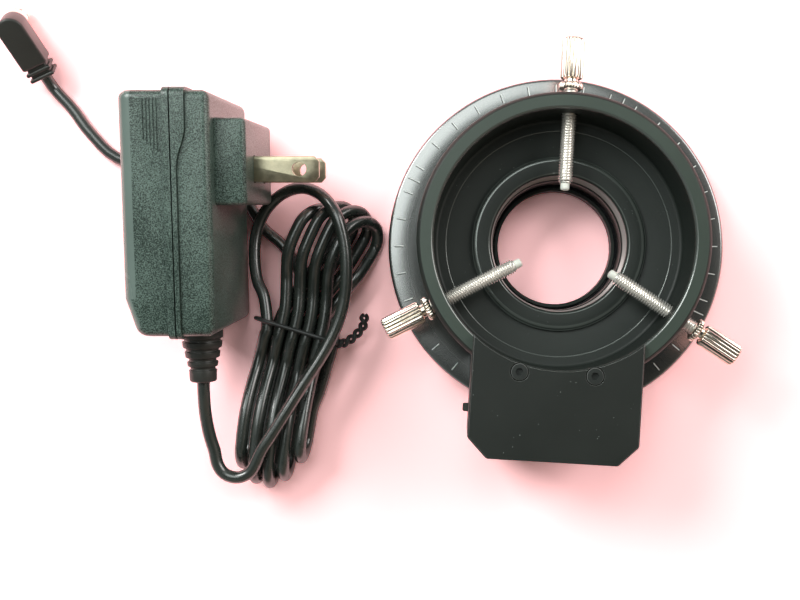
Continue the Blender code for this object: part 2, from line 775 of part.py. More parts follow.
def make_housing(looks, lamp):
    """The lamp housing: a channel that opens downwards, with a shoulder on the ring."""
    groove_radius = SNAP_RING_RADIUS - SNAP_GROOVE
    housing = turned_ring(
        "led_housing",
        [
            (COLLAR_RADIUS, HOUSING_TOP),
            (COLLAR_RADIUS, SHOULDER),
            (HOUSING_RADIUS, SHOULDER),
            (HOUSING_RADIUS, SNAP_RING_Z + SNAP_GROOVE),
            (groove_radius, SNAP_RING_Z + SNAP_GROOVE),
            (groove_radius, SNAP_RING_Z - SNAP_GROOVE),
            (HOUSING_RADIUS, SNAP_RING_Z - SNAP_GROOVE),
            (HOUSING_RADIUS, HOUSING_BOTTOM),
            (WINDOW_SEAT_RADIUS, HOUSING_BOTTOM),
            (WINDOW_SEAT_RADIUS, WINDOW_TOP + GAP),
            (LEDGE_RADIUS, WINDOW_TOP + GAP),
            (LEDGE_RADIUS, CHAMBER_TOP),
            (TUBE_HOLE_RADIUS, CHAMBER_TOP),
            (TUBE_HOLE_RADIUS, HOUSING_TOP),
        ],
        looks["anodised"],
        lamp,
    )
    for number, (x, y) in enumerate(board_screw_places(), 1):
        hole = rod_mesh(
            "web_hole",
            BOARD_SCREW_RADIUS + GAP,
            (x, y, CHAMBER_TOP - OVERRUN),
            (x, y, HOUSING_TOP + OVERRUN),
            segments=12,
        )
        boolean(housing, new_cutter(f"web_hole_{number}", hole, lamp))
    boolean(housing, lead_hole("housing_lead_hole", lamp))
    turned_ring(
        "diffuser_window",
        [
            (WINDOW_SEAT_RADIUS - GAP, WINDOW_TOP),
            (WINDOW_SEAT_RADIUS - GAP, WINDOW_BOTTOM),
            (TUBE_HOLE_RADIUS, WINDOW_BOTTOM),
            (TUBE_HOLE_RADIUS, WINDOW_TOP),
        ],
        looks["window"],
        lamp,
    )


def board_screw_places():
    places = []
    for i in range(BOARD_SCREW_COUNT):
        angle = math.radians(30) + 2 * math.pi * i / BOARD_SCREW_COUNT
        places.append((BOARD_SCREW_CIRCLE * math.cos(angle), BOARD_SCREW_CIRCLE * math.sin(angle)))
    return places


def led_lead_ends():
    """The lamps' lead slants from under the card to the edge of the lamp board."""
    start = Vector((0, -LEAD_REACH, CARD_BOTTOM - LEAD_RADIUS - GAP))
    end = Vector((0, -LED_BOARD_RADIUS - GAP, (LED_BOARD_BOTTOM + LED_BOARD_TOP) / 2))
    return start, end


def lead_hole(name, lamp):
    """The way through the housing and the box wall for the lamps' lead."""
    start, end = led_lead_ends()
    slant = (end - start) / (end.y - start.y)
    near = end + slant * GAP
    far = end - slant * (BOX_ARC_RADIUS + BOX_WALL + OVERRUN + end.y)
    return new_cutter(name, rod_mesh(name, LEAD_RADIUS + GAP, near, far, segments=12), lamp)


def led_mesh():
    """Square lamps in two circles, each sunk a little into the board."""
    mesh = bpy.data.meshes.new("leds")
    shape = bmesh.new()
    height = LED_HEIGHT + LED_SINK
    centre = LED_BOARD_BOTTOM + LED_SINK - height / 2
    for radius, count in (
        (INNER_LED_RADIUS, INNER_LED_COUNT),
        (OUTER_LED_RADIUS, OUTER_LED_COUNT),
    ):
        for i in range(count):
            angle = 2 * math.pi * (i + 0.5) / count
            place = Matrix.Rotation(angle, 4, "Z") @ Matrix.Translation((radius, 0, centre))
            size = Matrix.Diagonal((LED_WIDTH, LED_WIDTH, height, 1))
            bmesh.ops.create_cube(shape, size=1, matrix=place @ size)
    shape.to_mesh(mesh)
    shape.free()
    return mesh


def make_led_board(looks, lamp):
    board = turned_ring(
        "led_board",
        [
            (LED_BOARD_RADIUS, LED_BOARD_TOP),
            (LED_BOARD_RADIUS, LED_BOARD_BOTTOM),
            (TUBE_HOLE_RADIUS, LED_BOARD_BOTTOM),
            (TUBE_HOLE_RADIUS, LED_BOARD_TOP),
        ],
        looks["board"],
        lamp,
    )
    boolean(board, new_cutter("leds", led_mesh(), lamp), "UNION")
    head_top = LED_BOARD_BOTTOM - GAP
    shank_top = FLOOR_TOP - COLLAR_FLOOR / 3
    for number, (x, y) in enumerate(board_screw_places(), 1):
        hole = rod_mesh(
            "board_hole",
            BOARD_SCREW_RADIUS + GAP,
            (x, y, LED_BOARD_BOTTOM - OVERRUN),
            (x, y, LED_BOARD_TOP + OVERRUN),
            segments=12,
        )
        boolean(board, new_cutter(f"board_hole_{number}", hole, lamp))
        turned_solid(
            f"board_screw_{number}",
            [
                (0, shank_top),
                (BOARD_SCREW_RADIUS, shank_top),
                (BOARD_SCREW_RADIUS, head_top),
                (BOARD_SCREW_HEAD_RADIUS, head_top),
                (BOARD_SCREW_HEAD_RADIUS, head_top - BOARD_SCREW_HEAD_HEIGHT),
                (0, head_top - BOARD_SCREW_HEAD_HEIGHT),
            ],
            looks["steel"],
            lamp,
            steps=12,
            location=(x, y, 0),
        )


def make_collar(looks, lamp):
    """The collar: a cup with a floor, bored for the tube, the screws and the cover."""
    chamfer, inner = COLLAR_CHAMFER, COLLAR_INNER_CHAMFER
    collar = turned_ring(
        "mount_collar",
        [
            (COLLAR_RADIUS - chamfer, COLLAR_TOP),
            (COLLAR_RADIUS, COLLAR_TOP - chamfer),
            (COLLAR_RADIUS, COLLAR_BOTTOM),
            (TUBE_HOLE_RADIUS, COLLAR_BOTTOM),
            (TUBE_HOLE_RADIUS, FLOOR_TOP),
            (COLLAR_BORE_RADIUS - COLLAR_FILLET, FLOOR_TOP),
            (COLLAR_BORE_RADIUS, FLOOR_TOP + COLLAR_FILLET),
            (COLLAR_BORE_RADIUS, COLLAR_TOP - inner),
            (COLLAR_BORE_RADIUS + inner, COLLAR_TOP),
        ],
        looks["anodised"],
        lamp,
    )
    for name, (angle, _) in SCREWS.items():
        outward = Vector((math.cos(angle), math.sin(angle), 0))
        up = Vector((0, 0, SCREW_HEIGHT))
        hole = rod_mesh(
            "screw_hole",
            SCREW_RADIUS + GAP,
            outward * (COLLAR_BORE_RADIUS - OVERRUN) + up,
            outward * (COLLAR_RADIUS + OVERRUN) + up,
            segments=16,
        )
        boolean(collar, new_cutter(f"screw_hole_{name}", hole, lamp))
    for number, (x, y) in enumerate(board_screw_places(), 1):
        hole = rod_mesh(
            "floor_hole",
            BOARD_SCREW_RADIUS + GAP,
            (x, y, COLLAR_BOTTOM - OVERRUN),
            (x, y, FLOOR_TOP - COLLAR_FLOOR / 3 + GAP),
            segments=12,
        )
        boolean(collar, new_cutter(f"floor_hole_{number}", hole, lamp))
    for side, (x, y) in cover_screw_places().items():
        depth = COVER_SCREW_LENGTH - COVER_THICKNESS
        hole = rod_mesh(
            "rim_hole",
            COVER_SCREW_RADIUS + GAP,
            (x, y, COLLAR_TOP - depth),
            (x, y, COLLAR_TOP + OVERRUN),
            segments=12,
        )
        boolean(collar, new_cutter(f"rim_hole_{side}", hole, lamp))
    for side, direction in box_screw_directions().items():
        up = Vector((0, 0, BOX_SCREW_Z))
        hole = rod_mesh(
            "wall_hole",
            BOX_SCREW_RADIUS + GAP,
            direction * (COLLAR_RADIUS - BOX_SCREW_GRIP - GAP) + up,
            direction * (COLLAR_RADIUS + OVERRUN) + up,
            segments=12,
        )
        boolean(collar, new_cutter(f"wall_hole_{side}", hole, lamp))


def make_tube(looks, lamp):
    """The central tube hangs from the collar's floor and lines the viewing hole."""
    flange_bottom = FLOOR_TOP + GAP
    flange_top = flange_bottom + TUBE_FLANGE_THICKNESS
    lower_radius = VIEW_RADIUS - VIEW_STEP
    turned_ring(
        "center_tube",
        [
            (TUBE_FLANGE_RADIUS - TUBE_FLANGE_THICKNESS, flange_top),
            (TUBE_FLANGE_RADIUS, flange_bottom),
            (TUBE_RADIUS, flange_bottom),
            (TUBE_RADIUS, HOUSING_BOTTOM),
            (lower_radius, HOUSING_BOTTOM),
            (lower_radius, VIEW_STEP_HEIGHT),
            (VIEW_RADIUS, VIEW_STEP_HEIGHT + VIEW_STEP),
            (VIEW_RADIUS, flange_top),
        ],
        looks["anodised"],
        lamp,
    )


def screw_solid(name, looks, pivot):
    """A thumbscrew along its own +X: knurled head, neck, knurled disc and shank."""
    along = Matrix.Rotation(math.radians(90), 4, "Y")
    bore = SCREW_TIP_START + TIP_STEM_LENGTH + GAP
    shank = [
        (0, SCREW_HEAD_START + SCREW_HEAD_LENGTH / 2),
        (SCREW_NECK_RADIUS, SCREW_HEAD_START + SCREW_HEAD_LENGTH / 2),
        (SCREW_NECK_RADIUS, SCREW_START + SCREW_DISC_THICKNESS / 2),
        (SCREW_RADIUS, SCREW_START + SCREW_DISC_THICKNESS / 2),
        (SCREW_RADIUS, SCREW_TIP_START),
        (TIP_STEM_RADIUS + GAP, SCREW_TIP_START),
        (TIP_STEM_RADIUS + GAP, bore),
        (0, bore),
    ]
    screw = turned_solid(name, shank, looks["nickel"], pivot, steps=20)
    screw.rotation_euler = (0, math.radians(90), 0)
    for label, radius, start, length in (
        ("disc", SCREW_DISC_RADIUS, SCREW_START, SCREW_DISC_THICKNESS),
        ("head", SCREW_HEAD_RADIUS, SCREW_HEAD_START, SCREW_HEAD_LENGTH),
    ):
        outline = knurled_outline(radius, KNURL_DEPTH, KNURL_COUNT)
        mesh = outline_mesh(f"{name}_{label}", outline, start, length)
        mesh.transform(along)
        piece = new_cutter(f"{name}_{label}", mesh, pivot)
        boolean(screw, piece, "UNION")


def make_screws(looks, lamp):
    for name, (angle, backed_off) in SCREWS.items():
        pivot = new_empty(
            f"screw_axis_{name}",
            (backed_off * math.cos(angle), backed_off * math.sin(angle), SCREW_HEIGHT),
            (0, 0, angle),
            lamp,
        )
        screw_solid(f"thumbscrew_{name}", looks, pivot)
        seat = SCREW_TIP_START - GAP
        chamfer = TIP_LENGTH / 4
        turned_solid(
            f"screw_tip_{name}",
            [
                (0, seat + TIP_STEM_LENGTH),
                (TIP_STEM_RADIUS, seat + TIP_STEM_LENGTH),
                (TIP_STEM_RADIUS, seat),
                (TIP_RADIUS, seat),
                (TIP_RADIUS, seat - TIP_LENGTH + chamfer),
                (TIP_RADIUS - chamfer, seat - TIP_LENGTH),
                (0, seat - TIP_LENGTH),
            ],
            looks["nylon"],
            pivot,
            steps=16,
            rotation=(0, math.radians(90), 0),
        )


def box_outline(inset, arc_radius):
    """The control box seen from above, drawn in from its sides by an inset."""
    half = BOX_HALF_WIDTH - inset
    reach = BOX_REACH - inset
    corner = BOX_CORNER - inset * math.tan(math.radians(22.5))
    spread = math.asin(half / arc_radius)
    hollow = arc(arc_radius, -math.pi / 2 - spread, -math.pi / 2 + spread, 13)
    return [
        *hollow,
        (half, -reach + corner),
        (half - corner, -reach),
        (-half + corner, -reach),
        (-half, -reach + corner),
    ]


def make_control_box(looks, lamp):
    height = COLLAR_TOP - BOX_BOTTOM
    outside = box_outline(0, BOX_ARC_RADIUS)
    box = new_part(
        "control_box",
        outline_mesh("control_box", outside, BOX_BOTTOM, height),
        looks["anodised"],
        lamp,
    )
    inside = box_outline(BOX_WALL, BOX_ARC_RADIUS + BOX_WALL)
    floor = BOX_BOTTOM + BOX_WALL
    hollow = outline_mesh("box_hollow", inside, floor, height)
    boolean(box, new_cutter("box_hollow", hollow, lamp))
    for side in (-1, 1):
        y = -(CARD_FRONT + CARD_BACK) / 2
        post = rod_mesh(
            "card_post",
            POST_RADIUS,
            (side * POST_X, y, floor - BOX_WALL / 2),
            (side * POST_X, y, floor + POST_HEIGHT),
            segments=12,
        )
        boolean(box, new_cutter(f"card_post_{side}", post, lamp), "UNION")
    boolean(box, dimmer_slot(lamp))
    boolean(box, switch_slot(lamp))
    nose = rod_mesh(
        "jack_hole",
        JACK_NOSE_RADIUS + GAP,
        (SWITCH_INNER - OVERRUN, -SWITCH_Y, JACK_Z),
        (BOX_HALF_WIDTH + OVERRUN, -SWITCH_Y, JACK_Z),
    )
    boolean(box, new_cutter("jack_hole", nose, lamp))
    boolean(box, lead_hole("box_lead_hole", lamp))
    for side, direction in box_screw_directions().items():
        up = Vector((0, 0, BOX_SCREW_Z))
        hole = rod_mesh(
            "box_screw_hole",
            BOX_SCREW_RADIUS + GAP,
            direction * (BOX_ARC_RADIUS - OVERRUN) + up,
            direction * (BOX_ARC_RADIUS + BOX_WALL + OVERRUN) + up,
            segments=12,
        )
        boolean(box, new_cutter(f"box_screw_hole_{side}", hole, lamp))


def dimmer_slot(lamp):
    """The slot in the front wall that the dimmer wheel shows through."""
    show = DIMMER_SHOW + BOX_WALL
    half = math.sqrt(2 * DIMMER_WHEEL_RADIUS * show - show**2) + RUN_GAP
    low = (-half, -BOX_REACH - OVERRUN, DIMMER_BOTTOM - DIMMER_LIFT)
    top = DIMMER_BOTTOM + DIMMER_WHEEL_THICKNESS + DIMMER_LIFT
    high = (half, -BOX_REACH + BOX_WALL + OVERRUN, top)
    return new_cutter("dimmer_slot", box_mesh("dimmer_slot", low, high), lamp)


def switch_slot(lamp):
    half_length = KNOB_LENGTH / 2 + KNOB_TRAVEL / 2 + GAP
    half_height = KNOB_HEIGHT / 2 + GAP
    low = (-BOX_HALF_WIDTH - OVERRUN, -SWITCH_Y - half_length, SWITCH_Z - half_height)
    high = (-SWITCH_INNER + GAP / 2, -SWITCH_Y + half_length, SWITCH_Z + half_height)
    return new_cutter("switch_slot", box_mesh("switch_slot", low, high), lamp)


def cover_screw_places():
    """The cover is screwed down on the collar's rim."""
    y = -math.sqrt(COVER_SCREW_CIRCLE**2 - COVER_SCREW_X**2)
    return {"left": (-COVER_SCREW_X, y), "right": (COVER_SCREW_X, y)}


def make_cover(looks, lamp):
    cover = new_part(
        "cover_plate",
        outline_mesh(
            "cover_plate", box_outline(0, COLLAR_BORE_RADIUS), COVER_BOTTOM, COVER_THICKNESS
        ),
        looks["anodised"],
        lamp,
    )
    bevel(cover, COVER_BEVEL, segments=1)
    seat = COVER_TOP - COVER_SCREW_HEAD_HEIGHT
    for side, (x, y) in cover_screw_places().items():
        wide = COVER_SCREW_HEAD_RADIUS + GAP
        narrow = COVER_SCREW_RADIUS + GAP
        sink = turned_cutter(
            f"cover_sink_{side}",
            [
                (0, COVER_TOP + OVERRUN),
                (wide, COVER_TOP + OVERRUN),
                (wide, COVER_TOP - GAP),
                (narrow, seat - GAP),
                (narrow, COVER_BOTTOM - OVERRUN),
                (0, COVER_BOTTOM - OVERRUN),
            ],
            lamp,
            location=(x, y, 0),
        )
        boolean(cover, sink)
        end = COVER_TOP - COVER_SCREW_LENGTH
        screw = turned_solid(
            f"cover_screw_{side}",
            [
                (0, COVER_TOP),
                (COVER_SCREW_HEAD_RADIUS, COVER_TOP),
                (COVER_SCREW_HEAD_RADIUS, COVER_TOP - GAP),
                (COVER_SCREW_RADIUS, seat),
                (COVER_SCREW_RADIUS, end + GAP),
                (0, end + GAP),
            ],
            looks["black_screw"],
            lamp,
            location=(x, y, 0),
        )
        socket = rod_mesh(
            "socket",
            SOCKET_RADIUS,
            (x, y, COVER_TOP - SOCKET_DEPTH),
            (x, y, COVER_TOP + OVERRUN),
            segments=6,
        )
        boolean(screw, new_cutter(f"socket_{side}", socket, lamp))


def box_screw_directions():
    return {
        side: Vector((math.sin(turn), -math.cos(turn), 0))
        for side, turn in (("left", -BOX_SCREW_ANGLE), ("right", BOX_SCREW_ANGLE))
    }


def make_box_screws(looks, lamp):
    """Two screws inside the box, driven outwards-in through its curved wall."""
    for side, direction in box_screw_directions().items():
        head = BOX_ARC_RADIUS + BOX_WALL + GAP
        angle = math.atan2(direction.y, direction.x)
        turned_solid(
            f"box_screw_{side}",
            [
                (0, head + BOX_SCREW_HEAD_HEIGHT),
                (BOX_SCREW_HEAD_RADIUS, head + BOX_SCREW_HEAD_HEIGHT),
                (BOX_SCREW_HEAD_RADIUS, head),
                (BOX_SCREW_RADIUS, head),
                (BOX_SCREW_RADIUS, COLLAR_RADIUS - BOX_SCREW_GRIP),
                (0, COLLAR_RADIUS - BOX_SCREW_GRIP),
            ],
            looks["steel"],
            lamp,
            steps=12,
            location=(0, 0, BOX_SCREW_Z),
            rotation=(0, math.radians(90), angle),
        )


def make_electronics(looks, lamp):
    new_part(
        "driver_board",
        box_mesh(
            "driver_board",
            (-CARD_HALF_LENGTH, -CARD_FRONT, CARD_BOTTOM),
            (CARD_HALF_LENGTH, -CARD_BACK, CARD_TOP),
        ),
        looks["board"],
        lamp,
    )
    half = POT_SIDE / 2
    pot_y = -DIMMER_Y
    pot = new_part(
        "dimmer_pot",
        box_mesh(
            "dimmer_pot",
            (-half, pot_y - half, POT_BOTTOM),
            (half, pot_y + half, POT_BOTTOM + POT_HEIGHT),
        ),
        looks["black_plastic"],
        lamp,
    )
    bore = rod_mesh(
        "pot_bore",
        POT_SHAFT_RADIUS + GAP,
        (0, pot_y, POT_BOTTOM + POT_HEIGHT / 4),
        (0, pot_y, POT_BOTTOM + POT_HEIGHT + OVERRUN),
    )
    boolean(pot, new_cutter("pot_bore", bore, lamp))
    outline = knurled_outline(DIMMER_WHEEL_RADIUS, DIMMER_KNURL_DEPTH, DIMMER_KNURL_COUNT)
    wheel = new_part(
        "dimmer_wheel",
        outline_mesh("dimmer_wheel", outline, 0, DIMMER_WHEEL_THICKNESS),
        looks["black_plastic"],
        lamp,
        location=(0, pot_y, DIMMER_BOTTOM),
    )
    depth = POT_HEIGHT * 3 / 4 - GAP + DIMMER_LIFT
    shaft = rod_mesh(
        "dimmer_shaft", POT_SHAFT_RADIUS, (0, 0, -depth), (0, 0, DIMMER_WHEEL_THICKNESS / 2)
    )
    shaft = new_cutter("dimmer_shaft", shaft, lamp, location=(0, pot_y, DIMMER_BOTTOM))
    boolean(wheel, shaft, "UNION")
    make_switch(looks, lamp)
    make_jack(looks, lamp)
    make_led_lead(looks, lamp)


def make_switch(looks, lamp):
    body = new_part(
        "switch_body",
        box_mesh(
            "switch_body",
            (-SWITCH_INNER, -SWITCH_Y - SWITCH_LENGTH / 2, SWITCH_Z - SWITCH_HEIGHT / 2),
            (-SWITCH_INNER + SWITCH_DEPTH, -SWITCH_Y + SWITCH_LENGTH / 2, SWITCH_Z + SWITCH_HEIGHT / 2),
        ),
        looks["black_plastic"],
        lamp,
    )
    half_length = KNOB_LENGTH / 2 + KNOB_TRAVEL / 2 + GAP
    half_height = KNOB_HEIGHT / 2 + GAP
    groove = box_mesh(
        "switch_groove",
        (-SWITCH_INNER - OVERRUN, -SWITCH_Y - half_length, SWITCH_Z - half_height),
        (-SWITCH_INNER + KNOB_SINK + GAP, -SWITCH_Y + half_length, SWITCH_Z + half_height),
    )
    boolean(body, new_cutter("switch_groove", groove, lamp))
    rest_y = -SWITCH_Y - KNOB_TRAVEL / 2
    outer = -BOX_HALF_WIDTH - KNOB_SHOW
    knob = new_part(
        "switch_knob",
        box_mesh(
            "switch_knob",
            (outer, -KNOB_LENGTH / 2, -KNOB_HEIGHT / 2),
            (-SWITCH_INNER + KNOB_SINK, KNOB_LENGTH / 2, KNOB_HEIGHT / 2),
        ),
        looks["black_plastic"],
        lamp,
        location=(0, rest_y, SWITCH_Z),
    )
    bevel(knob, GAP, segments=1)


def make_jack(looks, lamp):
    """The power inlet: a block on the card with a round nose flush with the box."""
    face = BOX_HALF_WIDTH
    jack = new_part(
        "dc_jack",
        box_mesh(
            "dc_jack",
            (SWITCH_INNER - JACK_LENGTH, -SWITCH_Y - JACK_WIDTH / 2, JACK_Z - JACK_HEIGHT / 2),
            (SWITCH_INNER, -SWITCH_Y + JACK_WIDTH / 2, JACK_Z + JACK_HEIGHT / 2),
        ),
        looks["black_plastic"],
        lamp,
    )
    middle = SWITCH_INNER - JACK_LENGTH / 2
    nose = rod_mesh("jack_nose", JACK_NOSE_RADIUS, (middle, -SWITCH_Y, JACK_Z), (face, -SWITCH_Y, JACK_Z))
    boolean(jack, new_cutter("jack_nose", nose, lamp), "UNION")
    bore = turned_cutter(
        "jack_bore",
        [
            (JACK_BORE_RADIUS, face + OVERRUN),
            (JACK_BORE_RADIUS, face - JACK_DEPTH),
            (JACK_PIN_RADIUS, face - JACK_DEPTH),
            (JACK_PIN_RADIUS, face + OVERRUN),
        ],
        lamp,
        closed=True,
        location=(0, -SWITCH_Y, JACK_Z),
        rotation=(0, math.radians(90), 0),
    )
    boolean(jack, bore)


def make_led_lead(looks, lamp):
    start, end = led_lead_ends()
    new_part("led_lead", rod_mesh("led_lead", LEAD_RADIUS, start, end, segments=12), looks["cord"], lamp)


def adapter_form_mesh(name):
    """The whole adapter body seen from above, with its back tapered to the lead."""
    outline = [
        (ADAPTER_TAPER, 0),
        (ADAPTER_DEPTH, 0),
        (ADAPTER_DEPTH, ADAPTER_LENGTH),
        (0, ADAPTER_LENGTH),
        (0, ADAPTER_TAPER_LENGTH),
    ]
    return outline_mesh(name, outline, 0, ADAPTER_HEIGHT)


def adapter_hollow(name, adapter):
    wall = ADAPTER_WALL
    low = (wall, wall, wall)
    high = (ADAPTER_DEPTH - wall, ADAPTER_LENGTH - wall, ADAPTER_HEIGHT - wall)
    return new_cutter(name, box_mesh(name, low, high), adapter)


def relief_hole(name, adapter):
    start = (RELIEF_X, -OVERRUN, MID_HEIGHT)
    end = (RELIEF_X, ADAPTER_WALL + OVERRUN, MID_HEIGHT)
    return new_cutter(name, rod_mesh(name, RELIEF_NECK_RADIUS + GAP, start, end), adapter)


def half_space(name, start, end, adapter):
    """A box that takes away one side of the seam."""
    margin = ADAPTER_DEPTH
    low = (start, -margin, -margin)
    high = (end, ADAPTER_LENGTH + margin, ADAPTER_HEIGHT + margin)
    return new_cutter(name, box_mesh(name, low, high), adapter)


def make_rear_shell(looks, adapter):
    shell = new_part("adapter_rear_shell", adapter_form_mesh("adapter_rear_shell"), looks["housing"], adapter)
    bevel(shell, ADAPTER_EDGE)
    corners = rounded_outline(
        (-RIDGE, -RIDGE), (ADAPTER_LENGTH + RIDGE, ADAPTER_HEIGHT + RIDGE), ADAPTER_EDGE
    )
    ridge = outline_mesh("seam_ridge", corners, SEAM - RIDGE_WIDTH, 2 * RIDGE_WIDTH)
    ridge.transform(SIDEWAYS)
    boolean(shell, new_cutter("seam_ridge", ridge, adapter), "UNION")
    boolean(shell, half_space("front_half", SEAM, 2 * ADAPTER_DEPTH, adapter))
    boolean(shell, adapter_hollow("rear_hollow", adapter))
    boolean(shell, relief_hole("rear_relief_hole", adapter))


def make_front_shell(looks, adapter):
    shell = new_part(
        "adapter_front_shell", adapter_form_mesh("adapter_front_shell"), looks["housing"], adapter
    )
    bevel(shell, ADAPTER_EDGE)
    boolean(shell, half_space("rear_half", -ADAPTER_DEPTH, SEAM + GAP, adapter))
    block = box_mesh(
        "blade_block",
        (ADAPTER_DEPTH - ADAPTER_WALL / 2, BLOCK_Y - BLOCK_WIDTH / 2, MID_HEIGHT - BLOCK_HEIGHT / 2),
        (BLADE_ROOT, BLOCK_Y + BLOCK_WIDTH / 2, MID_HEIGHT + BLOCK_HEIGHT / 2),
    )
    block = new_cutter("blade_block", block, adapter)
    bevel(block, BLOCK_EDGE)
    boolean(shell, block, "UNION")
    boolean(shell, adapter_hollow("front_hollow", adapter))
    for number, (y, z) in enumerate(standoff_places(), 1):
        post = rod_mesh(
            "standoff",
            STANDOFF_RADIUS,
            (ADAPTER_DEPTH - ADAPTER_WALL / 2, y, z),
            (POWER_CARD_FACE + GAP, y, z),
            segments=12,
        )
        boolean(shell, new_cutter(f"standoff_{number}", post, adapter), "UNION")
    for side in (-1, 1):
        y, z = BLADE_Y, MID_HEIGHT + side * BLADE_SPACING / 2
        slot = box_mesh(
            "blade_slot",
            (POWER_CARD_FACE, y - BLADE_WIDTH / 2 - GAP, z - BLADE_THICKNESS / 2 - GAP),
            (BLADE_ROOT + OVERRUN, y + BLADE_WIDTH / 2 + GAP, z + BLADE_THICKNESS / 2 + GAP),
        )
        boolean(shell, new_cutter(f"blade_slot_{side}", slot, adapter))
    boolean(shell, relief_hole("front_relief_hole", adapter))


def standoff_places():
    low = (ADAPTER_LENGTH - POWER_CARD_LENGTH) / 2 + STANDOFF_INSET
    high = ADAPTER_LENGTH - low
    spread = POWER_CARD_HEIGHT / 2 - STANDOFF_INSET
    return [(low, MID_HEIGHT - spread), (low, MID_HEIGHT + spread), (high, MID_HEIGHT - spread)]


def make_blades(looks, adapter):
    start = POWER_CARD_FACE + GAP
    tip = BLADE_ROOT + BLADE_LENGTH
    half, chamfer = BLADE_WIDTH / 2, BLADE_CHAMFER
    outline = [
        (start, BLADE_Y - half),
        (tip - chamfer, BLADE_Y - half),
        (tip, BLADE_Y - half + chamfer),
        (tip, BLADE_Y + half - chamfer),
        (tip - chamfer, BLADE_Y + half),
        (start, BLADE_Y + half),
    ]
    for name, side in (("upper", 1), ("lower", -1)):
        z = MID_HEIGHT + side * BLADE_SPACING / 2
        mesh = outline_mesh(f"blade_{name}", outline, z - BLADE_THICKNESS / 2, BLADE_THICKNESS)
        blade = new_part(f"blade_{name}", mesh, looks["nickel"], adapter)
        x = BLADE_ROOT + BLADE_HOLE_PLACE
        reach = BLADE_THICKNESS / 2 + OVERRUN
        hole = rod_mesh("blade_hole", BLADE_HOLE_RADIUS, (x, BLADE_Y, z - reach), (x, BLADE_Y, z + reach))
        boolean(blade, new_cutter(f"blade_hole_{name}", hole, adapter))


def make_power_card(looks, adapter):
    low_y = (ADAPTER_LENGTH - POWER_CARD_LENGTH) / 2
    card_back = POWER_CARD_FACE - POWER_CARD_THICKNESS
    new_part(
        "adapter_board",
        box_mesh(
            "adapter_board",
            (card_back, low_y, MID_HEIGHT - POWER_CARD_HEIGHT / 2),
            (POWER_CARD_FACE, low_y + POWER_CARD_LENGTH, MID_HEIGHT + POWER_CARD_HEIGHT / 2),
        ),
        looks["board"],
        adapter,
    )
    back = card_back - GAP
    half = TRANSFORMER_LENGTH / 2
    new_part(
        "adapter_transformer",
        box_mesh(
            "adapter_transformer",
            (back - TRANSFORMER_DEPTH, TRANSFORMER_Y - half, MID_HEIGHT - TRANSFORMER_HEIGHT / 2),
            (back, TRANSFORMER_Y + half, MID_HEIGHT + TRANSFORMER_HEIGHT / 2),
        ),
        looks["copper"],
        adapter,
    )
    can = rod_mesh(
        "adapter_capacitor",
        CAPACITOR_RADIUS,
        (back - CAPACITOR_RADIUS, CAPACITOR_Y - CAPACITOR_LENGTH / 2, MID_HEIGHT),
        (back - CAPACITOR_RADIUS, CAPACITOR_Y + CAPACITOR_LENGTH / 2, MID_HEIGHT),
    )
    new_part("adapter_capacitor", can, looks["can"], adapter)


def ribbed_profile(base_radius, tip_radius, start, pitch, count, depth):
    """Ribs that taper from the base to the tip, from high to low."""
    profile = []
    for i in range(count):
        radius = base_radius + (tip_radius - base_radius) * (i + 1) / count
        top = start - i * pitch
        profile.append((radius - depth, top))
        profile.append((radius - depth, top - pitch / 3))
        profile.append((radius, top - pitch / 3))
        profile.append((radius, top - pitch))
    return profile


def make_relief(looks, adapter):
    """The ribbed strain relief, gripped in the end wall between the shells."""
    inner = ADAPTER_WALL + GAP
    profile = [
        (0, inner + RELIEF_FLANGE),
        (RELIEF_FLANGE_RADIUS, inner + RELIEF_FLANGE),
        (RELIEF_FLANGE_RADIUS, inner),
        (RELIEF_NECK_RADIUS, inner),
        (RELIEF_NECK_RADIUS, -RIDGE - GAP),
        (RELIEF_BASE_RADIUS, -RIDGE - GAP),
        (RELIEF_BASE_RADIUS, -RELIEF_BASE_LENGTH),
    ]
    profile += ribbed_profile(
        RELIEF_BASE_RADIUS,
        RELIEF_TIP_RADIUS,
        -RELIEF_BASE_LENGTH,
        RELIEF_RIB_PITCH,
        RELIEF_RIB_COUNT,
        RELIEF_RIB_DEPTH,
    )
    profile.append((0, -RELIEF_LENGTH))
    turned_solid(
        "strain_relief",
        profile,
        looks["black_plastic"],
        adapter,
        steps=16,
        location=(RELIEF_X, 0, MID_HEIGHT),
        rotation=(math.radians(-90), 0, 0),
    )


def ease(value):
    value = min(max(value, 0), 1)
    return value * value * (3 - 2 * value)


def hank_share(run):
    """How far a place is from the waist towards the top folds, and the bottom ones."""
    top = ease((run - HANK_NECK) / HANK_TOP_SPREAD)
    bottom = ease((HANK_NECK - run) / HANK_BOTTOM_SPREAD)
    return top, bottom


def hank_heights(run):
    """The heights of the lower and the upper strands, the lower ones lifted over the tail."""
    rise = ease((run - HANK_RISE[0]) / (HANK_RISE[1] - HANK_RISE[0]))
    fall = ease((run - HANK_FALL[0]) / (HANK_FALL[1] - HANK_FALL[0]))
    low = CORD_RADIUS + HANK_LIFT * (rise - fall)
    spread = HANK_LAYER + (2 * HANK_FOLD - HANK_LAYER) * max(hank_share(run))
    return low, max(low + HANK_LAYER, CORD_RADIUS + spread)


def beside_hank(run, across, height):
    """A point in bench coordinates, from its place along and across the hank."""
    bow = HANK_BOW * (run / HANK_HALF_LENGTH) ** 2
    along = Vector((math.cos(HANK_TURN), math.sin(HANK_TURN)))
    right = Vector((along.y, -along.x))
    flat = Vector((HANK_X, HANK_Y)) + along * run + right * (across + bow)
    return Vector((flat.x, flat.y, height))


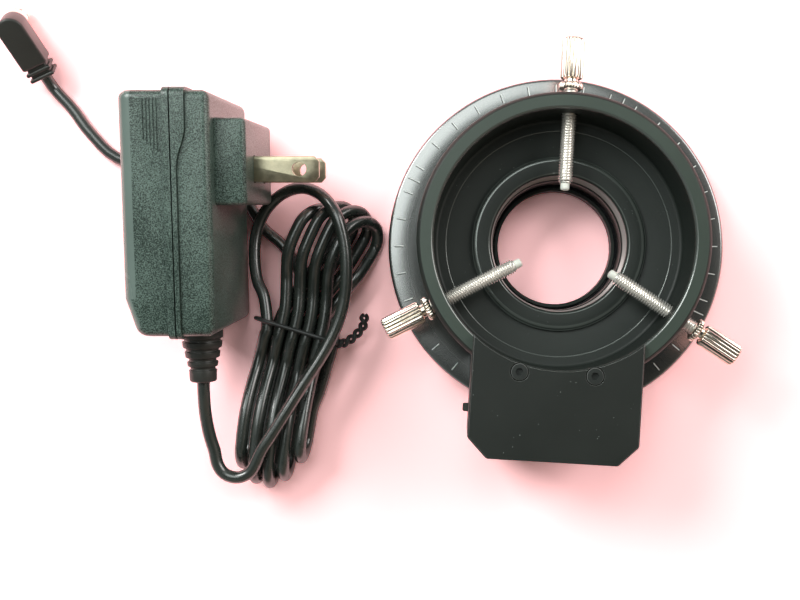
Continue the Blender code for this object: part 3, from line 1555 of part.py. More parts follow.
def hank_point(turn):
    """Where the lead lies after so many turns: down on top, a fold, up below, a fold."""
    top_end = HANK_TOP_END - HANK_TOP_FAN * (turn - HANK_TOP_MIDDLE) ** 2
    bottom_end = HANK_BOTTOM_END + HANK_BOTTOM_FAN * (turn - HANK_BOTTOM_MIDDLE) ** 2
    top_reach = math.hypot(HANK_SLANT, HANK_FOLD)
    top = top_end - top_reach
    bottom = bottom_end + HANK_FOLD
    across = turn - HANK_MIDDLE
    past_top = (turn + 0.25) % 1
    from_top = min(past_top, 1 - past_top)
    side = 1 if past_top < 0.5 else -1
    if from_top < HANK_FOLD_SHARE:
        angle = side * from_top / HANK_FOLD_SHARE * math.pi / 2
        low, high = hank_heights(top)
        return beside_hank(
            top + top_reach * math.cos(angle),
            HANK_TOP_PITCH * across - HANK_SLANT * math.sin(angle),
            (low + high) / 2 + (high - low) / 2 * math.sin(angle),
        )
    if from_top > 0.5 - HANK_FOLD_SHARE:
        angle = side * (0.5 - from_top) / HANK_FOLD_SHARE * math.pi / 2
        low, high = hank_heights(bottom)
        return beside_hank(
            bottom - HANK_FOLD * math.cos(angle),
            HANK_BOTTOM_PITCH * across,
            (low + high) / 2 + (high - low) / 2 * math.sin(angle),
        )
    run = top + (bottom - top) * (from_top - HANK_FOLD_SHARE) / (0.5 - 2 * HANK_FOLD_SHARE)
    to_top, to_bottom = hank_share(run)
    pitch = HANK_PITCH
    pitch += (HANK_TOP_PITCH - HANK_PITCH) * to_top
    pitch += (HANK_BOTTOM_PITCH - HANK_PITCH) * to_bottom
    low, high = hank_heights(run)
    return beside_hank(run, pitch * across - side * HANK_SLANT * to_top, high if side > 0 else low)


def hank_points():
    fold_step = 2 * HANK_FOLD_SHARE / HANK_FOLD_POINTS
    run_step = (0.5 - 2 * HANK_FOLD_SHARE) / HANK_RUN_POINTS
    steps = ([run_step] * HANK_RUN_POINTS + [fold_step] * HANK_FOLD_POINTS) * 10
    turns = np.cumsum([-0.25 - 0.5 + HANK_FOLD_SHARE, *steps]).tolist()
    turns = [turn for turn in turns if HANK_START < turn < HANK_END]
    return [hank_point(turn) for turn in [HANK_START, *turns, HANK_END]]


def meeting(end, before):
    """Two points of a cord that meets another squarely: its end and one diameter out."""
    away = (end - before).normalized()
    return end + away * GAP, end + away * (GAP + 2 * CORD_RADIUS)


def lead_points(adapter, coil):
    """From the strain relief over the hank and round in one wide loop to its start."""
    frame = adapter.matrix_basis
    relief_end = frame @ Vector((RELIEF_X, -RELIEF_LENGTH, MID_HEIGHT))
    relief_inner = frame @ Vector((RELIEF_X, 0, MID_HEIGHT))
    start, leaving = meeting(relief_end, relief_inner)
    end, arriving = meeting(coil[0], coil[1])
    route = [leaving, *(Vector(point) for point in LEAD_WAY), arriving]
    return [start, *smooth_route(route, CORD_SPACING), end]


def tail_points(coil, plug):
    """From the hank's loose end, under the loops and the adapter, to the plug."""
    start, leaving = meeting(coil[-1], coil[-2])
    frame = plug.matrix_basis
    plug_end = frame @ Vector((0, -PLUG_LENGTH, 0))
    end, arriving = meeting(plug_end, frame @ Vector((0, 0, 0)))
    route = [leaving]
    route += [beside_hank(*point) for point in TAIL_UNDER]
    route += [Vector(point) for point in TAIL_AWAY]
    route.append(arriving)
    return [start, *smooth_route(route, CORD_SPACING), end]


def tie_points():
    """One wire: a twisted end, round the bundle, and back along the twist."""
    loop = [beside_hank(TIE_PLACE, across, height) for across, height in TIE_LOOP]
    spine = [beside_hank(*point) for point in TIE_SPINE]
    spine = smooth_route(spine, TIE_TAIL / (TIE_TWISTS * TIE_TWIST_POINTS))
    strands = [[], []]
    for i, place in enumerate(spine):
        ahead = spine[min(i + 1, len(spine) - 1)] - spine[max(i - 1, 0)]
        side = ahead.cross(Vector((0, 0, 1))).normalized()
        up = side.cross(ahead).normalized()
        angle = math.pi / 2 + 2 * math.pi * i / TIE_TWIST_POINTS
        offset = TIE_TWIST_RADIUS * (math.cos(angle) * side + math.sin(angle) * up)
        strands[0].append(place + offset)
        strands[1].append(place - offset)
    return [*reversed(strands[0]), *loop, *strands[1]]


def plug_turn():
    """The turn that lays the barrel along X and the lead along minus Y."""
    barrel = Vector(PLUG_BARREL_WAY).normalized()
    side = barrel.cross(-Vector(PLUG_LEAD_WAY)).normalized()
    return Matrix((barrel, side.cross(barrel), side)).transposed().to_euler()


def make_plug(looks, plug):
    """The right-angle plug: a round-headed block with two ribs, and a metal barrel."""
    half = PLUG_DEPTH / 2
    angles = np.linspace(-math.pi / 2, math.pi / 2, SMALL_STEPS // 2 + 1).tolist()
    outline = [(PLUG_HEAD_RADIUS * math.cos(a), PLUG_HEAD_RADIUS * math.sin(a)) for a in angles]
    outline += [(-PLUG_ARM_LENGTH, PLUG_HEAD_RADIUS), (-PLUG_ARM_LENGTH, -PLUG_HEAD_RADIUS)]
    mesh = outline_mesh("plug_body", outline, -half, PLUG_DEPTH)
    mesh.transform(SIDEWAYS)
    body = new_part("plug_body", mesh, looks["black_plastic"], plug)
    bevel(body, PLUG_EDGE)
    rib = PLUG_RIB_SIDE / 2
    core = rib - PLUG_RIB_DEPTH
    neck = box_mesh(
        "plug_neck",
        (-core, PLUG_RIB_THICKNESS / 2 - PLUG_LENGTH, -core),
        (core, PLUG_RIB_THICKNESS - PLUG_ARM_LENGTH, core),
    )
    boolean(body, new_cutter("plug_neck", neck, plug), "UNION")
    for number in range(PLUG_RIB_COUNT):
        start = number * PLUG_RIB_PITCH - PLUG_LENGTH
        mesh = box_mesh("plug_rib", (-rib, start, -rib), (rib, start + PLUG_RIB_THICKNESS, rib))
        boolean(body, new_cutter(f"plug_rib_{number}", mesh, plug), "UNION")
    pocket = rod_mesh("plug_pocket", BARREL_RADIUS + GAP, (half - BARREL_GRIP, 0, 0), (half + OVERRUN, 0, 0))
    boolean(body, new_cutter("plug_pocket", pocket, plug))
    base = half - BARREL_GRIP + GAP
    tip = half + BARREL_LENGTH
    contact = BARREL_BORE_RADIUS + BARREL_WALL
    floor = base + BARREL_WALL
    turned_ring(
        "plug_barrel",
        [
            (BARREL_RADIUS, tip),
            (BARREL_RADIUS, base),
            (BARREL_BORE_RADIUS, base),
            (BARREL_BORE_RADIUS, tip - BARREL_STEP),
            (contact, tip - BARREL_STEP),
            (contact, floor),
            (BARREL_RADIUS - BARREL_WALL, floor),
            (BARREL_RADIUS - BARREL_WALL, tip),
        ],
        looks["nickel"],
        plug,
        steps=SMALL_STEPS,
        rotation=(0, math.radians(90), 0),
    )
    turned_ring(
        "plug_insulator",
        [
            (BARREL_RADIUS - BARREL_WALL - FIT, tip - BARREL_STEP),
            (BARREL_RADIUS - BARREL_WALL - FIT, floor + FIT),
            (contact + FIT, floor + FIT),
            (contact + FIT, tip - BARREL_STEP),
        ],
        looks["black_plastic"],
        plug,
        steps=SMALL_STEPS,
        rotation=(0, math.radians(90), 0),
    )


def least_gap(first, second, apart=0):
    """The least gap between two cords, leaving out near neighbours along one cord."""

    def fine(points):
        places = np.array(points)
        steps = np.linspace(0, 1, 6, endpoint=False)
        return np.concatenate([a + (b - a) * steps[:, None] for a, b in zip(places, places[1:])])

    one, two = fine(first), fine(second)
    distance = np.linalg.norm(one[:, None] - two[None], axis=2)
    if apart:
        index = np.arange(len(one))
        distance[np.abs(index[:, None] - index[None]) < apart * 6] = np.inf
    return distance.min() - 2 * CORD_RADIUS


def make_cords(looks, adapter, plug):
    coil = hank_points()
    print(f"least gap of the hank to itself: {least_gap(coil, coil, 4) * 1000:.2f} mm")
    lead = lead_points(adapter, coil)
    tail = tail_points(coil, plug)
    tube("cord_hank", coil, CORD_RADIUS, looks["cord"], resolution=1)
    tube("cord_lead", lead, CORD_RADIUS, looks["cord"])
    tube("cord_tail", tail, CORD_RADIUS, looks["cord"])
    tube("twist_tie", tie_points(), TIE_RADIUS, looks["tie"], resolution=1)


def main():
    looks = make_materials()
    lamp = new_empty("lamp_axis", (LAMP_X, LAMP_Y, 0))
    make_scale_ring(looks, lamp)
    make_film(looks, lamp)
    make_snap_ring(looks, lamp)
    make_housing(looks, lamp)
    make_led_board(looks, lamp)
    make_collar(looks, lamp)
    make_tube(looks, lamp)
    make_screws(looks, lamp)
    make_control_box(looks, lamp)
    make_cover(looks, lamp)
    make_box_screws(looks, lamp)
    make_electronics(looks, lamp)
    adapter = new_empty(
        "adapter_edge", (ADAPTER_X, ADAPTER_Y, ADAPTER_Z), (ADAPTER_LEAN, 0, ADAPTER_TURN)
    )
    make_rear_shell(looks, adapter)
    make_front_shell(looks, adapter)
    make_blades(looks, adapter)
    make_power_card(looks, adapter)
    make_relief(looks, adapter)
    plug = new_empty("plug_centre", PLUG_PLACE, plug_turn())
    make_plug(looks, plug)
    make_cords(looks, adapter, plug)


clear_scene()
PARTS = new_collection("polarized_ring_light")
CUTTERS = new_collection("cutters")
main()
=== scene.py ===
"""Looks of the polarized ring light: finishes, fine shapes, the lead, light and camera."""

import json
import math

import bmesh
import bpy
from mathutils import Matrix, Vector


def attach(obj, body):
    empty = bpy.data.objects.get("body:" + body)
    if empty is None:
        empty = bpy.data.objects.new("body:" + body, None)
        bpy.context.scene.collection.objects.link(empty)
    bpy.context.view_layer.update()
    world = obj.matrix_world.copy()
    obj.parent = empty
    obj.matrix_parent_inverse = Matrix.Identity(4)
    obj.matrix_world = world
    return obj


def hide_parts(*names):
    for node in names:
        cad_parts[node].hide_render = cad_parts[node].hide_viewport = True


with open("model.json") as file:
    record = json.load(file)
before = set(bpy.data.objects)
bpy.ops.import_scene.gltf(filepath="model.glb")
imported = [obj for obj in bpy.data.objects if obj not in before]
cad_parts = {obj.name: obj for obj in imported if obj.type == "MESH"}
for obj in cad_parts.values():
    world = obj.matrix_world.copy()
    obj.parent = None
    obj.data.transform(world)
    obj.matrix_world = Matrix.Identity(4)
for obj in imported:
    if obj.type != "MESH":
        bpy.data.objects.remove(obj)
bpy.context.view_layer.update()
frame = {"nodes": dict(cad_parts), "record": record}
NODES = frame["nodes"]
ROOT = "lamp_and_adapter"
RING = "polarizer_ring"
LAMP = Vector((0.0305, 0.0022, 0))
ON_LAMP = Matrix.Translation(LAMP)
SCENE = bpy.context.scene


# Camera


def make_camera():
    """Straight above the bench, with the frame slid sideways as in the photograph."""
    data = bpy.data.cameras.new("camera")
    data.sensor_width = 36
    data.lens = 46.08
    data.shift_x = -0.075
    data.shift_y = 0.0275
    data.clip_start = 0.01
    camera = bpy.data.objects.new("camera", data)
    SCENE.collection.objects.link(camera)
    up = Vector((-0.0593, 0.9982, 0))
    right = up.cross(Vector((0, 0, 1)))
    turn = Matrix((right, up, Vector((0, 0, 1)))).transposed()
    camera.matrix_world = Matrix.Translation((0.00548, -0.02012, 0.290)) @ turn.to_4x4()
    SCENE.camera = camera


make_camera()


# Materials


def shader_of(name):
    material = bpy.data.materials.new(name)
    material.use_nodes = True
    nodes = material.node_tree.nodes
    return material, nodes, material.node_tree.links, nodes["Principled BSDF"]


def noise(nodes, links, vector, scale, detail=3.0, rough=0.55):
    tex = nodes.new("ShaderNodeTexNoise")
    tex.inputs["Scale"].default_value = scale
    tex.inputs["Detail"].default_value = detail
    tex.inputs["Roughness"].default_value = rough
    links.new(vector, tex.inputs["Vector"])
    return tex.outputs["Fac"]


def ramp(nodes, links, value, low, high, start=0.3, end=0.7):
    """Maps a stretch of a noise to a range of colours or numbers."""
    node = nodes.new("ShaderNodeValToRGB")
    node.color_ramp.elements[0].position = start
    node.color_ramp.elements[1].position = end
    node.color_ramp.elements[0].color = low
    node.color_ramp.elements[1].color = high
    links.new(value, node.inputs["Fac"])
    return node.outputs["Color"]


def grey(value):
    return (value, value, value, 1)


def tint(rgb, gain=1.0):
    return (rgb[0] * gain, rgb[1] * gain, rgb[2] * gain, 1)


def add_bump(nodes, links, shader, height, strength, depth):
    relief = nodes.new("ShaderNodeBump")
    relief.inputs["Strength"].default_value = strength
    relief.inputs["Distance"].default_value = depth
    links.new(height, relief.inputs["Height"])
    links.new(relief.outputs["Normal"], shader.inputs["Normal"])


def add_specks(nodes, links, vector, base, speck, scale, share):
    """Sparse light dust over a colour."""
    tex = nodes.new("ShaderNodeTexVoronoi")
    tex.inputs["Scale"].default_value = scale
    links.new(vector, tex.inputs["Vector"])
    spots = ramp(nodes, links, tex.outputs["Distance"], grey(1), grey(0), share * 0.6, share)
    patch = noise(nodes, links, vector, scale * 0.21, 1.0)
    rare = ramp(nodes, links, patch, grey(0), grey(1), 0.60, 0.66)
    both = nodes.new("ShaderNodeMath")
    both.operation = "MULTIPLY"
    links.new(spots, both.inputs[0])
    links.new(rare, both.inputs[1])
    mix = nodes.new("ShaderNodeMix")
    mix.data_type = "RGBA"
    links.new(both.outputs[0], mix.inputs["Factor"])
    links.new(base, mix.inputs[6])
    mix.inputs[7].default_value = tint(speck)
    return mix.outputs[2]


def set_sockets(shader, sockets):
    for socket, value in sockets.items():
        shader.inputs[socket.replace("_", " ")].default_value = value


def finish(
    name, rgb, rough, metallic=0.0, grain=3000, bump=0.02, spread=0.12, patch=60, dust=0, **sockets
):
    """A surface with a fine grain in its bump, and slow patches in colour and gloss."""
    material, nodes, links, shader = shader_of(name)
    vector = nodes.new("ShaderNodeTexCoord").outputs["Object"]
    slow = noise(nodes, links, vector, patch)
    fine = noise(nodes, links, vector, grain, 2.0)
    base = ramp(nodes, links, slow, tint(rgb, 1 - spread), tint(rgb, 1 + spread))
    if dust:
        base = add_specks(nodes, links, vector, base, (0.35, 0.38, 0.36), dust, 0.10)
    links.new(base, shader.inputs["Base Color"])
    gloss = ramp(nodes, links, slow, grey(rough * 0.92), grey(min(rough * 1.08, 1)))
    links.new(gloss, shader.inputs["Roughness"])
    shader.inputs["Metallic"].default_value = metallic
    add_bump(nodes, links, shader, fine, bump, 0.0002)
    set_sockets(shader, sockets)
    return material


def turned_finish(name, rgb, rough, metallic=0.0, bump=0.05, dust=0, **sockets):
    """A lathe-turned surface: very fine rings round the lamp's axis, over a slow mottle."""
    material, nodes, links, shader = shader_of(name)
    shift = nodes.new("ShaderNodeMapping")
    shift.inputs["Location"].default_value = (-LAMP.x, -LAMP.y, 0)
    links.new(nodes.new("ShaderNodeTexCoord").outputs["Object"], shift.inputs["Vector"])
    vector = shift.outputs["Vector"]
    split = nodes.new("ShaderNodeSeparateXYZ")
    links.new(vector, split.inputs["Vector"])
    flat = nodes.new("ShaderNodeCombineXYZ")
    links.new(split.outputs["X"], flat.inputs["X"])
    links.new(split.outputs["Y"], flat.inputs["Y"])
    length = nodes.new("ShaderNodeVectorMath")
    length.operation = "LENGTH"
    links.new(flat.outputs["Vector"], length.inputs[0])
    rings = nodes.new("ShaderNodeCombineXYZ")
    links.new(length.outputs["Value"], rings.inputs["X"])
    links.new(split.outputs["Z"], rings.inputs["Z"])
    fine = noise(nodes, links, rings.outputs["Vector"], 9000, 1.0)
    slow = noise(nodes, links, vector, 45)
    base = ramp(nodes, links, slow, tint(rgb, 0.9), tint(rgb, 1.1))
    if dust:
        base = add_specks(nodes, links, vector, base, (0.30, 0.33, 0.31), dust, 0.08)
    links.new(base, shader.inputs["Base Color"])
    gloss = ramp(nodes, links, fine, grey(rough * 0.9), grey(rough * 1.1))
    links.new(gloss, shader.inputs["Roughness"])
    shader.inputs["Metallic"].default_value = metallic
    add_bump(nodes, links, shader, fine, bump, 0.0001)
    set_sockets(shader, sockets)
    return material


def grained_finish(name, dark, light, rough):
    """Moulded plastic with a sparkling grain: tiny pale and dark flecks, and small pits."""
    material, nodes, links, shader = shader_of(name)
    vector = nodes.new("ShaderNodeTexCoord").outputs["Object"]
    flecks = noise(nodes, links, vector, 3300, 2.0, 0.6)
    slow = noise(nodes, links, vector, 60)
    both = nodes.new("ShaderNodeMath")
    both.operation = "MULTIPLY_ADD"
    both.inputs[1].default_value = 0.25
    links.new(slow, both.inputs[0])
    links.new(flecks, both.inputs[2])
    base = ramp(nodes, links, both.outputs[0], tint(dark), tint(light), 0.53, 0.76)
    links.new(base, shader.inputs["Base Color"])
    gloss = ramp(nodes, links, slow, grey(rough * 0.92), grey(rough * 1.08))
    links.new(gloss, shader.inputs["Roughness"])
    add_bump(nodes, links, shader, flecks, 0.10, 0.0002)
    return material


def make_looks():
    """Every look by its name: the finish it has, its colour, its roughness and the rest."""
    looks = {}
    for name, make, *values, more in (
        (
            "black_anodised",
            turned_finish,
            (0.016, 0.021, 0.018), 0.46, 0.0,
            {"dust": 900, "Specular_IOR_Level": 0.36},
        ),
        (
            "scale_anodised",
            turned_finish,
            (0.014, 0.019, 0.016), 0.25, 0.0,
            {"bump": 0.015, "IOR": 3.1},
        ),
        # A lighter colour for the collar's top land: a painted sheen.
        (
            "rim_anodised",
            turned_finish,
            (0.046, 0.064, 0.052), 0.42, 0.0,
            {"Specular_IOR_Level": 0.4},
        ),
        # Narrow chamfers of the ring, collar and tube: a lighter colour that paints their highlight
        # lines, over a real gloss.
        ("bright_edge", turned_finish, (0.08, 0.095, 0.086), 0.24, 0.3, {"IOR": 2.0}),
        ("polarizing_film", finish, (0.05, 0.05, 0.055), 0.08, {"bump": 0.0, "Alpha": 0.6}),
        ("diffuser", finish, (0.85, 0.86, 0.84), 0.4, {"Alpha": 0.75}),
        ("circuit_board", finish, (0.05, 0.16, 0.08), 0.4, {}),
        (
            "nickel_plate",
            finish,
            (0.80, 0.73, 0.64), 0.16, 1.0,
            {"grain": 1800, "bump": 0.03, "spread": 0.06, "patch": 400},
        ),
        (
            "screw_thread",
            finish,
            (0.94, 0.91, 0.86), 0.22, 0.7,
            {"grain": 1800, "bump": 0.03, "spread": 0.06, "patch": 400},
        ),
        (
            "blade_plate",
            finish,
            (0.50, 0.45, 0.32), 0.34, 1.0,
            {"grain": 2600, "bump": 0.10, "spread": 0.18, "patch": 500},
        ),
        # A light grey for the cover's bevels and the screw heads' rims: a painted highlight, with
        # some real gloss.
        ("worn_edge", finish, (0.27, 0.28, 0.27), 0.32, 0.3, {}),
        # A pale pinkish colour for the bore's thread: a painted reflection of the bench, over a
        # partly metallic gloss.
        ("bore_thread", finish, (0.42, 0.36, 0.35), 0.30, 0.4, {}),
        ("spring_steel", finish, (0.45, 0.45, 0.44), 0.3, 1.0, {}),
        ("black_screw", finish, (0.026, 0.030, 0.028), 0.32, 0.0, {"grain": 4000, "bump": 0.04}),
        ("nylon", finish, (0.86, 0.85, 0.76), 0.42, {"Subsurface_Weight": 0.1}),
        ("black_plastic", finish, (0.033, 0.035, 0.031), 0.38, {"grain": 2500, "bump": 0.05}),
        ("adapter_plastic", grained_finish, (0.010, 0.021, 0.016), (0.135, 0.198, 0.170), 0.34, {}),
        # A lighter green for one rounded long edge of the rear shell: a painted highlight, with
        # some gloss.
        (
            "adapter_edge",
            finish,
            (0.145, 0.195, 0.175), 0.26,
            {"grain": 2600, "bump": 0.02, "spread": 0.08},
        ),
        ("winding_tape", finish, (0.5, 0.4, 0.08), 0.45, {}),
        ("capacitor_can", finish, (0.05, 0.07, 0.15), 0.35, 0.3, {}),
        (
            "cord_jacket",
            finish,
            (0.020, 0.026, 0.022), 0.27,
            {"grain": 900, "bump": 0.03, "patch": 120, "IOR": 1.9},
        ),
        ("tie_coating", finish, (0.024, 0.027, 0.026), 0.30, {"grain": 2000, "bump": 0.05}),
        (
            "box_anodised",
            finish,
            (0.011, 0.0145, 0.012), 0.50,
            {"grain": 5000, "bump": 0.08, "spread": 0.06, "dust": 900, "Specular_IOR_Level": 0.42},
        ),
        ("marks", finish, (0.90, 0.94, 0.91), 0.5, {"grain": 4000, "bump": 0.05}),
        # Dark bars beside the white marks: painted shade of their engraved grooves.
        ("mark_grooves", finish, (0.006, 0.008, 0.007), 0.7, {"grain": 4000, "bump": 0.05}),
    ):
        looks[name] = make(name, *values, **more)
    return looks


LOOKS = make_looks()

for entry in frame["record"]["subparts"]:
    for place in NODES[entry["node"]].material_slots:
        place.material = LOOKS[entry["material_slot"]]
for name in ("cover_plate", "control_box"):
    for place in NODES[name].material_slots:
        place.material = LOOKS["box_anodised"]


# Mesh tools


def add_piece(name, mesh, look, body, slot, replaces=(), smooth=30, matrix=None):
    """Puts a mesh in the scene; a mesh with edges of their own look keeps it."""
    if matrix is not None:
        mesh.transform(matrix)
    piece = bpy.data.objects.new(name, mesh)
    SCENE.collection.objects.link(piece)
    if len(mesh.materials) == 2:
        mesh.materials[0] = LOOKS[look]
    else:
        mesh.materials.clear()
        mesh.materials.append(LOOKS[look])
    mesh.shade_smooth()
    mesh.set_sharp_from_angle(angle=math.radians(smooth))
    if smooth == 0:
        for face in mesh.polygons:
            face.use_smooth = face.material_index == 1
    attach(piece, body)
    if replaces:
        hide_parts(*replaces)
    return piece


def with_look(mesh, look, chosen):
    """Gives a mesh a second look, and puts it on the faces that are chosen."""
    mesh.materials.clear()
    mesh.materials.append(None)
    mesh.materials.append(LOOKS[look])
    for face in mesh.polygons:
        face.material_index = int(chosen(face))
    return mesh


def with_edges(mesh, look, width=0):
    """Puts the second look on the faces narrower than the width."""

    def narrow(face):
        corners = [mesh.vertices[i].co for i in face.vertices]
        sides = [(one - two).length for one, two in zip(corners, corners[1:] + corners[:1])]
        return min(sides) < width

    return with_look(mesh, look, narrow)


def mesh_of(name, fill):
    """A mesh from a function that fills a bmesh."""
    mesh = bpy.data.meshes.new(name)
    shape = bmesh.new()
    fill(shape)
    bmesh.ops.recalc_face_normals(shape, faces=shape.faces)
    shape.to_mesh(mesh)
    shape.free()
    return mesh


def skin(name, rows, capped=True):
    """A closed skin over rows of points, each row a ring, with its two ends filled."""

    def fill(shape):
        rings = [[shape.verts.new(point) for point in row] for row in rows]
        count = len(rings[0])
        for one, two in zip(rings, rings[1:]):
            for i in range(count):
                j = (i + 1) % count
                shape.faces.new((one[i], one[j], two[j], two[i]))
        if capped:
            shape.faces.new(rings[0])
            shape.faces.new(rings[-1])

    return mesh_of(name, fill)


def lathe(name, profile, steps=240):
    """A turned solid from a closed ring profile."""
    rows = []
    for radius, height in [*profile, profile[0]]:
        angles = [2 * math.pi * i / steps for i in range(steps)]
        rows.append([(radius * math.cos(a), radius * math.sin(a), height) for a in angles])
    mesh = skin(name, rows, capped=False)
    shape = bmesh.new()
    shape.from_mesh(mesh)
    bmesh.ops.remove_doubles(shape, verts=shape.verts, dist=1e-7)
    bmesh.ops.recalc_face_normals(shape, faces=shape.faces)
    shape.to_mesh(mesh)
    shape.free()
    return mesh


def turned(name, profile, steps=64):
    """A turned solid from an open profile, filled flat at its two ends."""
    rows = []
    for radius, height in profile:
        angles = [2 * math.pi * i / steps for i in range(steps)]
        rows.append([(radius * math.cos(a), radius * math.sin(a), height) for a in angles])
    return skin(name, rows)


def soften(profile, size, closed=True):
    """Rounds each corner of a profile a little."""
    out = []
    count = len(profile)
    for i, place in enumerate(profile):
        if not closed and i in (0, count - 1):
            out.append(place)
            continue
        here = Vector(place)
        before = Vector(profile[i - 1]) - here
        after = Vector(profile[(i + 1) % count]) - here
        cut = min(size, before.length * 0.35, after.length * 0.35)
        out.append(tuple(here + before.normalized() * cut))
        out.append(tuple(here + (before.normalized() + after.normalized()) * cut * 0.28))
        out.append(tuple(here + after.normalized() * cut))
    return out


def prism(name, outline, low, high):
    return skin(name, [[(x, y, low) for x, y in outline], [(x, y, high) for x, y in outline]])


def block(name, low, high):
    outline = [(low[0], low[1]), (high[0], low[1]), (high[0], high[1]), (low[0], high[1])]
    return prism(name, outline, low[2], high[2])


def rod(name, radius, start, end, segments=48):
    start, end = Vector(start), Vector(end)
    turn = (end - start).to_track_quat("Z", "Y").to_matrix().to_4x4()
    mesh = turned(name, [(radius, 0), (radius, (end - start).length)], segments)
    mesh.transform(Matrix.Translation(start) @ turn)
    return mesh


def shaped(mesh, *steps):
    """The mesh after its steps, each a bevel, a cut or a join."""
    temp = bpy.data.objects.new("temp", mesh)
    SCENE.collection.objects.link(temp)
    others = []
    for kind, value in steps:
        if kind == "bevel":
            step = temp.modifiers.new(kind, "BEVEL")
            step.width, step.segments = value
            step.material = len(mesh.materials) - 1 if len(mesh.materials) == 2 else -1
            step.limit_method = "ANGLE"
            step.angle_limit = math.radians(30)
            continue
        other = bpy.data.objects.new("other", value)
        SCENE.collection.objects.link(other)
        others.append(other)
        step = temp.modifiers.new(kind, "BOOLEAN")
        step.operation = "UNION" if kind == "join" else "DIFFERENCE"
        step.solver = "EXACT"
        step.object = other
    graph = bpy.context.evaluated_depsgraph_get()
    graph.update()
    made = bpy.data.meshes.new_from_object(temp.evaluated_get(graph))
    for item in (temp, *others):
        bpy.data.objects.remove(item, do_unlink=True)
    return made


# Lead: it goes the way that the solids' lead goes, with its turns closer together

CORD_RADIUS = 0.00165
ON_BENCH = 0.00002
GAP = 0.0003
HANK_X, HANK_Y = -0.0401, -0.0270
HANK_TURN = math.radians(76.5)
HANK_HALF_LENGTH = 0.0403
HANK_BOW = 0.0046
HANK_PITCH = 0.0037
HANK_END_PITCH = 0.0040
HANK_LAYER = 0.0039
HANK_FOLD = 0.0053
HANK_SLANT = 0.0045
HANK_NECK = 0.0030
HANK_TOP_SPREAD = 0.0220
HANK_BOTTOM_SPREAD = 0.0300
HANK_LIFT = 0.00405
HANK_RISE = (-0.0140, -0.0010)
HANK_FALL = (0.0200, 0.0320)
HANK_TOP_END = 0.0386
HANK_TOP_FAN = 0.0010
HANK_TOP_MIDDLE = 2.25
HANK_BOTTOM_END = -0.0406
HANK_BOTTOM_FAN = 0.0015
HANK_BOTTOM_MIDDLE = 1.75
HANK_MIDDLE = 2
HANK_START = -0.02
HANK_END = 4.36
HANK_FOLD_SHARE = 0.06
HANK_FOLD_POINTS = 10
HANK_RUN_POINTS = 14

# The way the lead goes to the hank: bench places
LEAD_WAY = [
    (-0.0606, -0.0483, 0.0180),
    (-0.0595, -0.0539, 0.0168),
    (-0.0581, -0.0582, 0.0160),
    (-0.0571, -0.0620, 0.0156),
    (-0.0551, -0.0645, 0.0154),
    (-0.0519, -0.0653, 0.0154),
    (-0.0493, -0.0644, 0.0155),
    (-0.0475, -0.0625, 0.0157),
    (-0.0454, -0.0574, 0.0161),
    (-0.0427, -0.0527, 0.0162),
    (-0.0393, -0.0464, 0.0161),
    (-0.0353, -0.0389, 0.0157),
    (-0.0310, -0.0312, 0.0151),
    (-0.0277, -0.0237, 0.0150),
    (-0.0259, -0.0161, 0.0153),
    (-0.0257, -0.0080, 0.0160),
    (-0.0268, -0.0001, 0.0163),
    (-0.0295, 0.0070, 0.0162),
    (-0.0341, 0.0120, 0.0136),
    (-0.0401, 0.0139, 0.0100),
    (-0.0460, 0.0120, 0.0070),
    (-0.0504, 0.0072, 0.0057),
    (-0.0524, 0.0009, 0.0057),
    (-0.0524, -0.0055, 0.0063),
    (-0.0510, -0.0119, 0.0075),
    (-0.0486, -0.0166, 0.0086),
]

# The way the tail goes: places along, across and above the hank, then bench places
TAIL_UNDER = [
    (-0.0130, 0.0101, 0.0017),
    (-0.0065, 0.0104, 0.0017),
    (0.0000, 0.0104, 0.0017),
    (0.0050, 0.0089, 0.0017),
    (0.0095, 0.0050, 0.0017),
    (0.0145, -0.0010, 0.0017),
    (0.0190, -0.0070, 0.0017),
    (0.0235, -0.0128, 0.0017),
]
TAIL_AWAY = [
    (-0.0514, 0.0030, 0.0017),
    (-0.0564, 0.0096, 0.0017),
    (-0.0650, 0.0142, 0.0017),
    (-0.0789, 0.0170, 0.0017),
    (-0.0934, 0.0202, 0.0017),
    (-0.1014, 0.0267, 0.0017),
    (-0.1067, 0.0330, 0.00175),
    (-0.1109, 0.0371, 0.00195),
]

# The way the tie goes: across and above the hank, then along it too
TIE_PLACE = 0.0022
TIE_LOOP = [
    (0.0108, 0.0099),
    (0.0100, 0.0117),
    (0.0079, 0.01215),
    (0.00395, 0.01215),
    (0.0000, 0.01215),
    (-0.00395, 0.01215),
    (-0.0082, 0.01215),
    (-0.0103, 0.0116),
    (-0.0111, 0.0095),
    (-0.0103, 0.0068),
    (-0.0090, 0.0040),
    (-0.0065, 0.0028),
    (0.0000, 0.0028),
    (0.0054, 0.0028),
    (0.0075, 0.00335),
    (0.0093, 0.0053),
    (0.0103, 0.0069),
]
TIE_SPINE = [
    (0.0018, 0.0119, 0.0084),
    (0.0025, 0.0138, 0.0080),
    (0.0050, 0.0159, 0.0076),
    (0.0084, 0.0172, 0.0072),
    (0.0116, 0.0165, 0.0070),
]


def ease(value):
    value = min(max(value, 0), 1)
    return value * value * (3 - 2 * value)


def hank_share(run):
    """How far a place is from the waist towards the top folds, and the bottom ones."""
    top = ease((run - HANK_NECK) / HANK_TOP_SPREAD)
    bottom = ease((HANK_NECK - run) / HANK_BOTTOM_SPREAD)
    return top, bottom


def hank_heights(run):
    """The heights of the lower and the upper strands, the lower ones lifted over the tail."""
    rise = ease((run - HANK_RISE[0]) / (HANK_RISE[1] - HANK_RISE[0]))
    fall = ease((run - HANK_FALL[0]) / (HANK_FALL[1] - HANK_FALL[0]))
    low = CORD_RADIUS + HANK_LIFT * (rise - fall)
    spread = HANK_LAYER + (2 * HANK_FOLD - HANK_LAYER) * max(hank_share(run))
    return low, max(low + HANK_LAYER, CORD_RADIUS + spread)


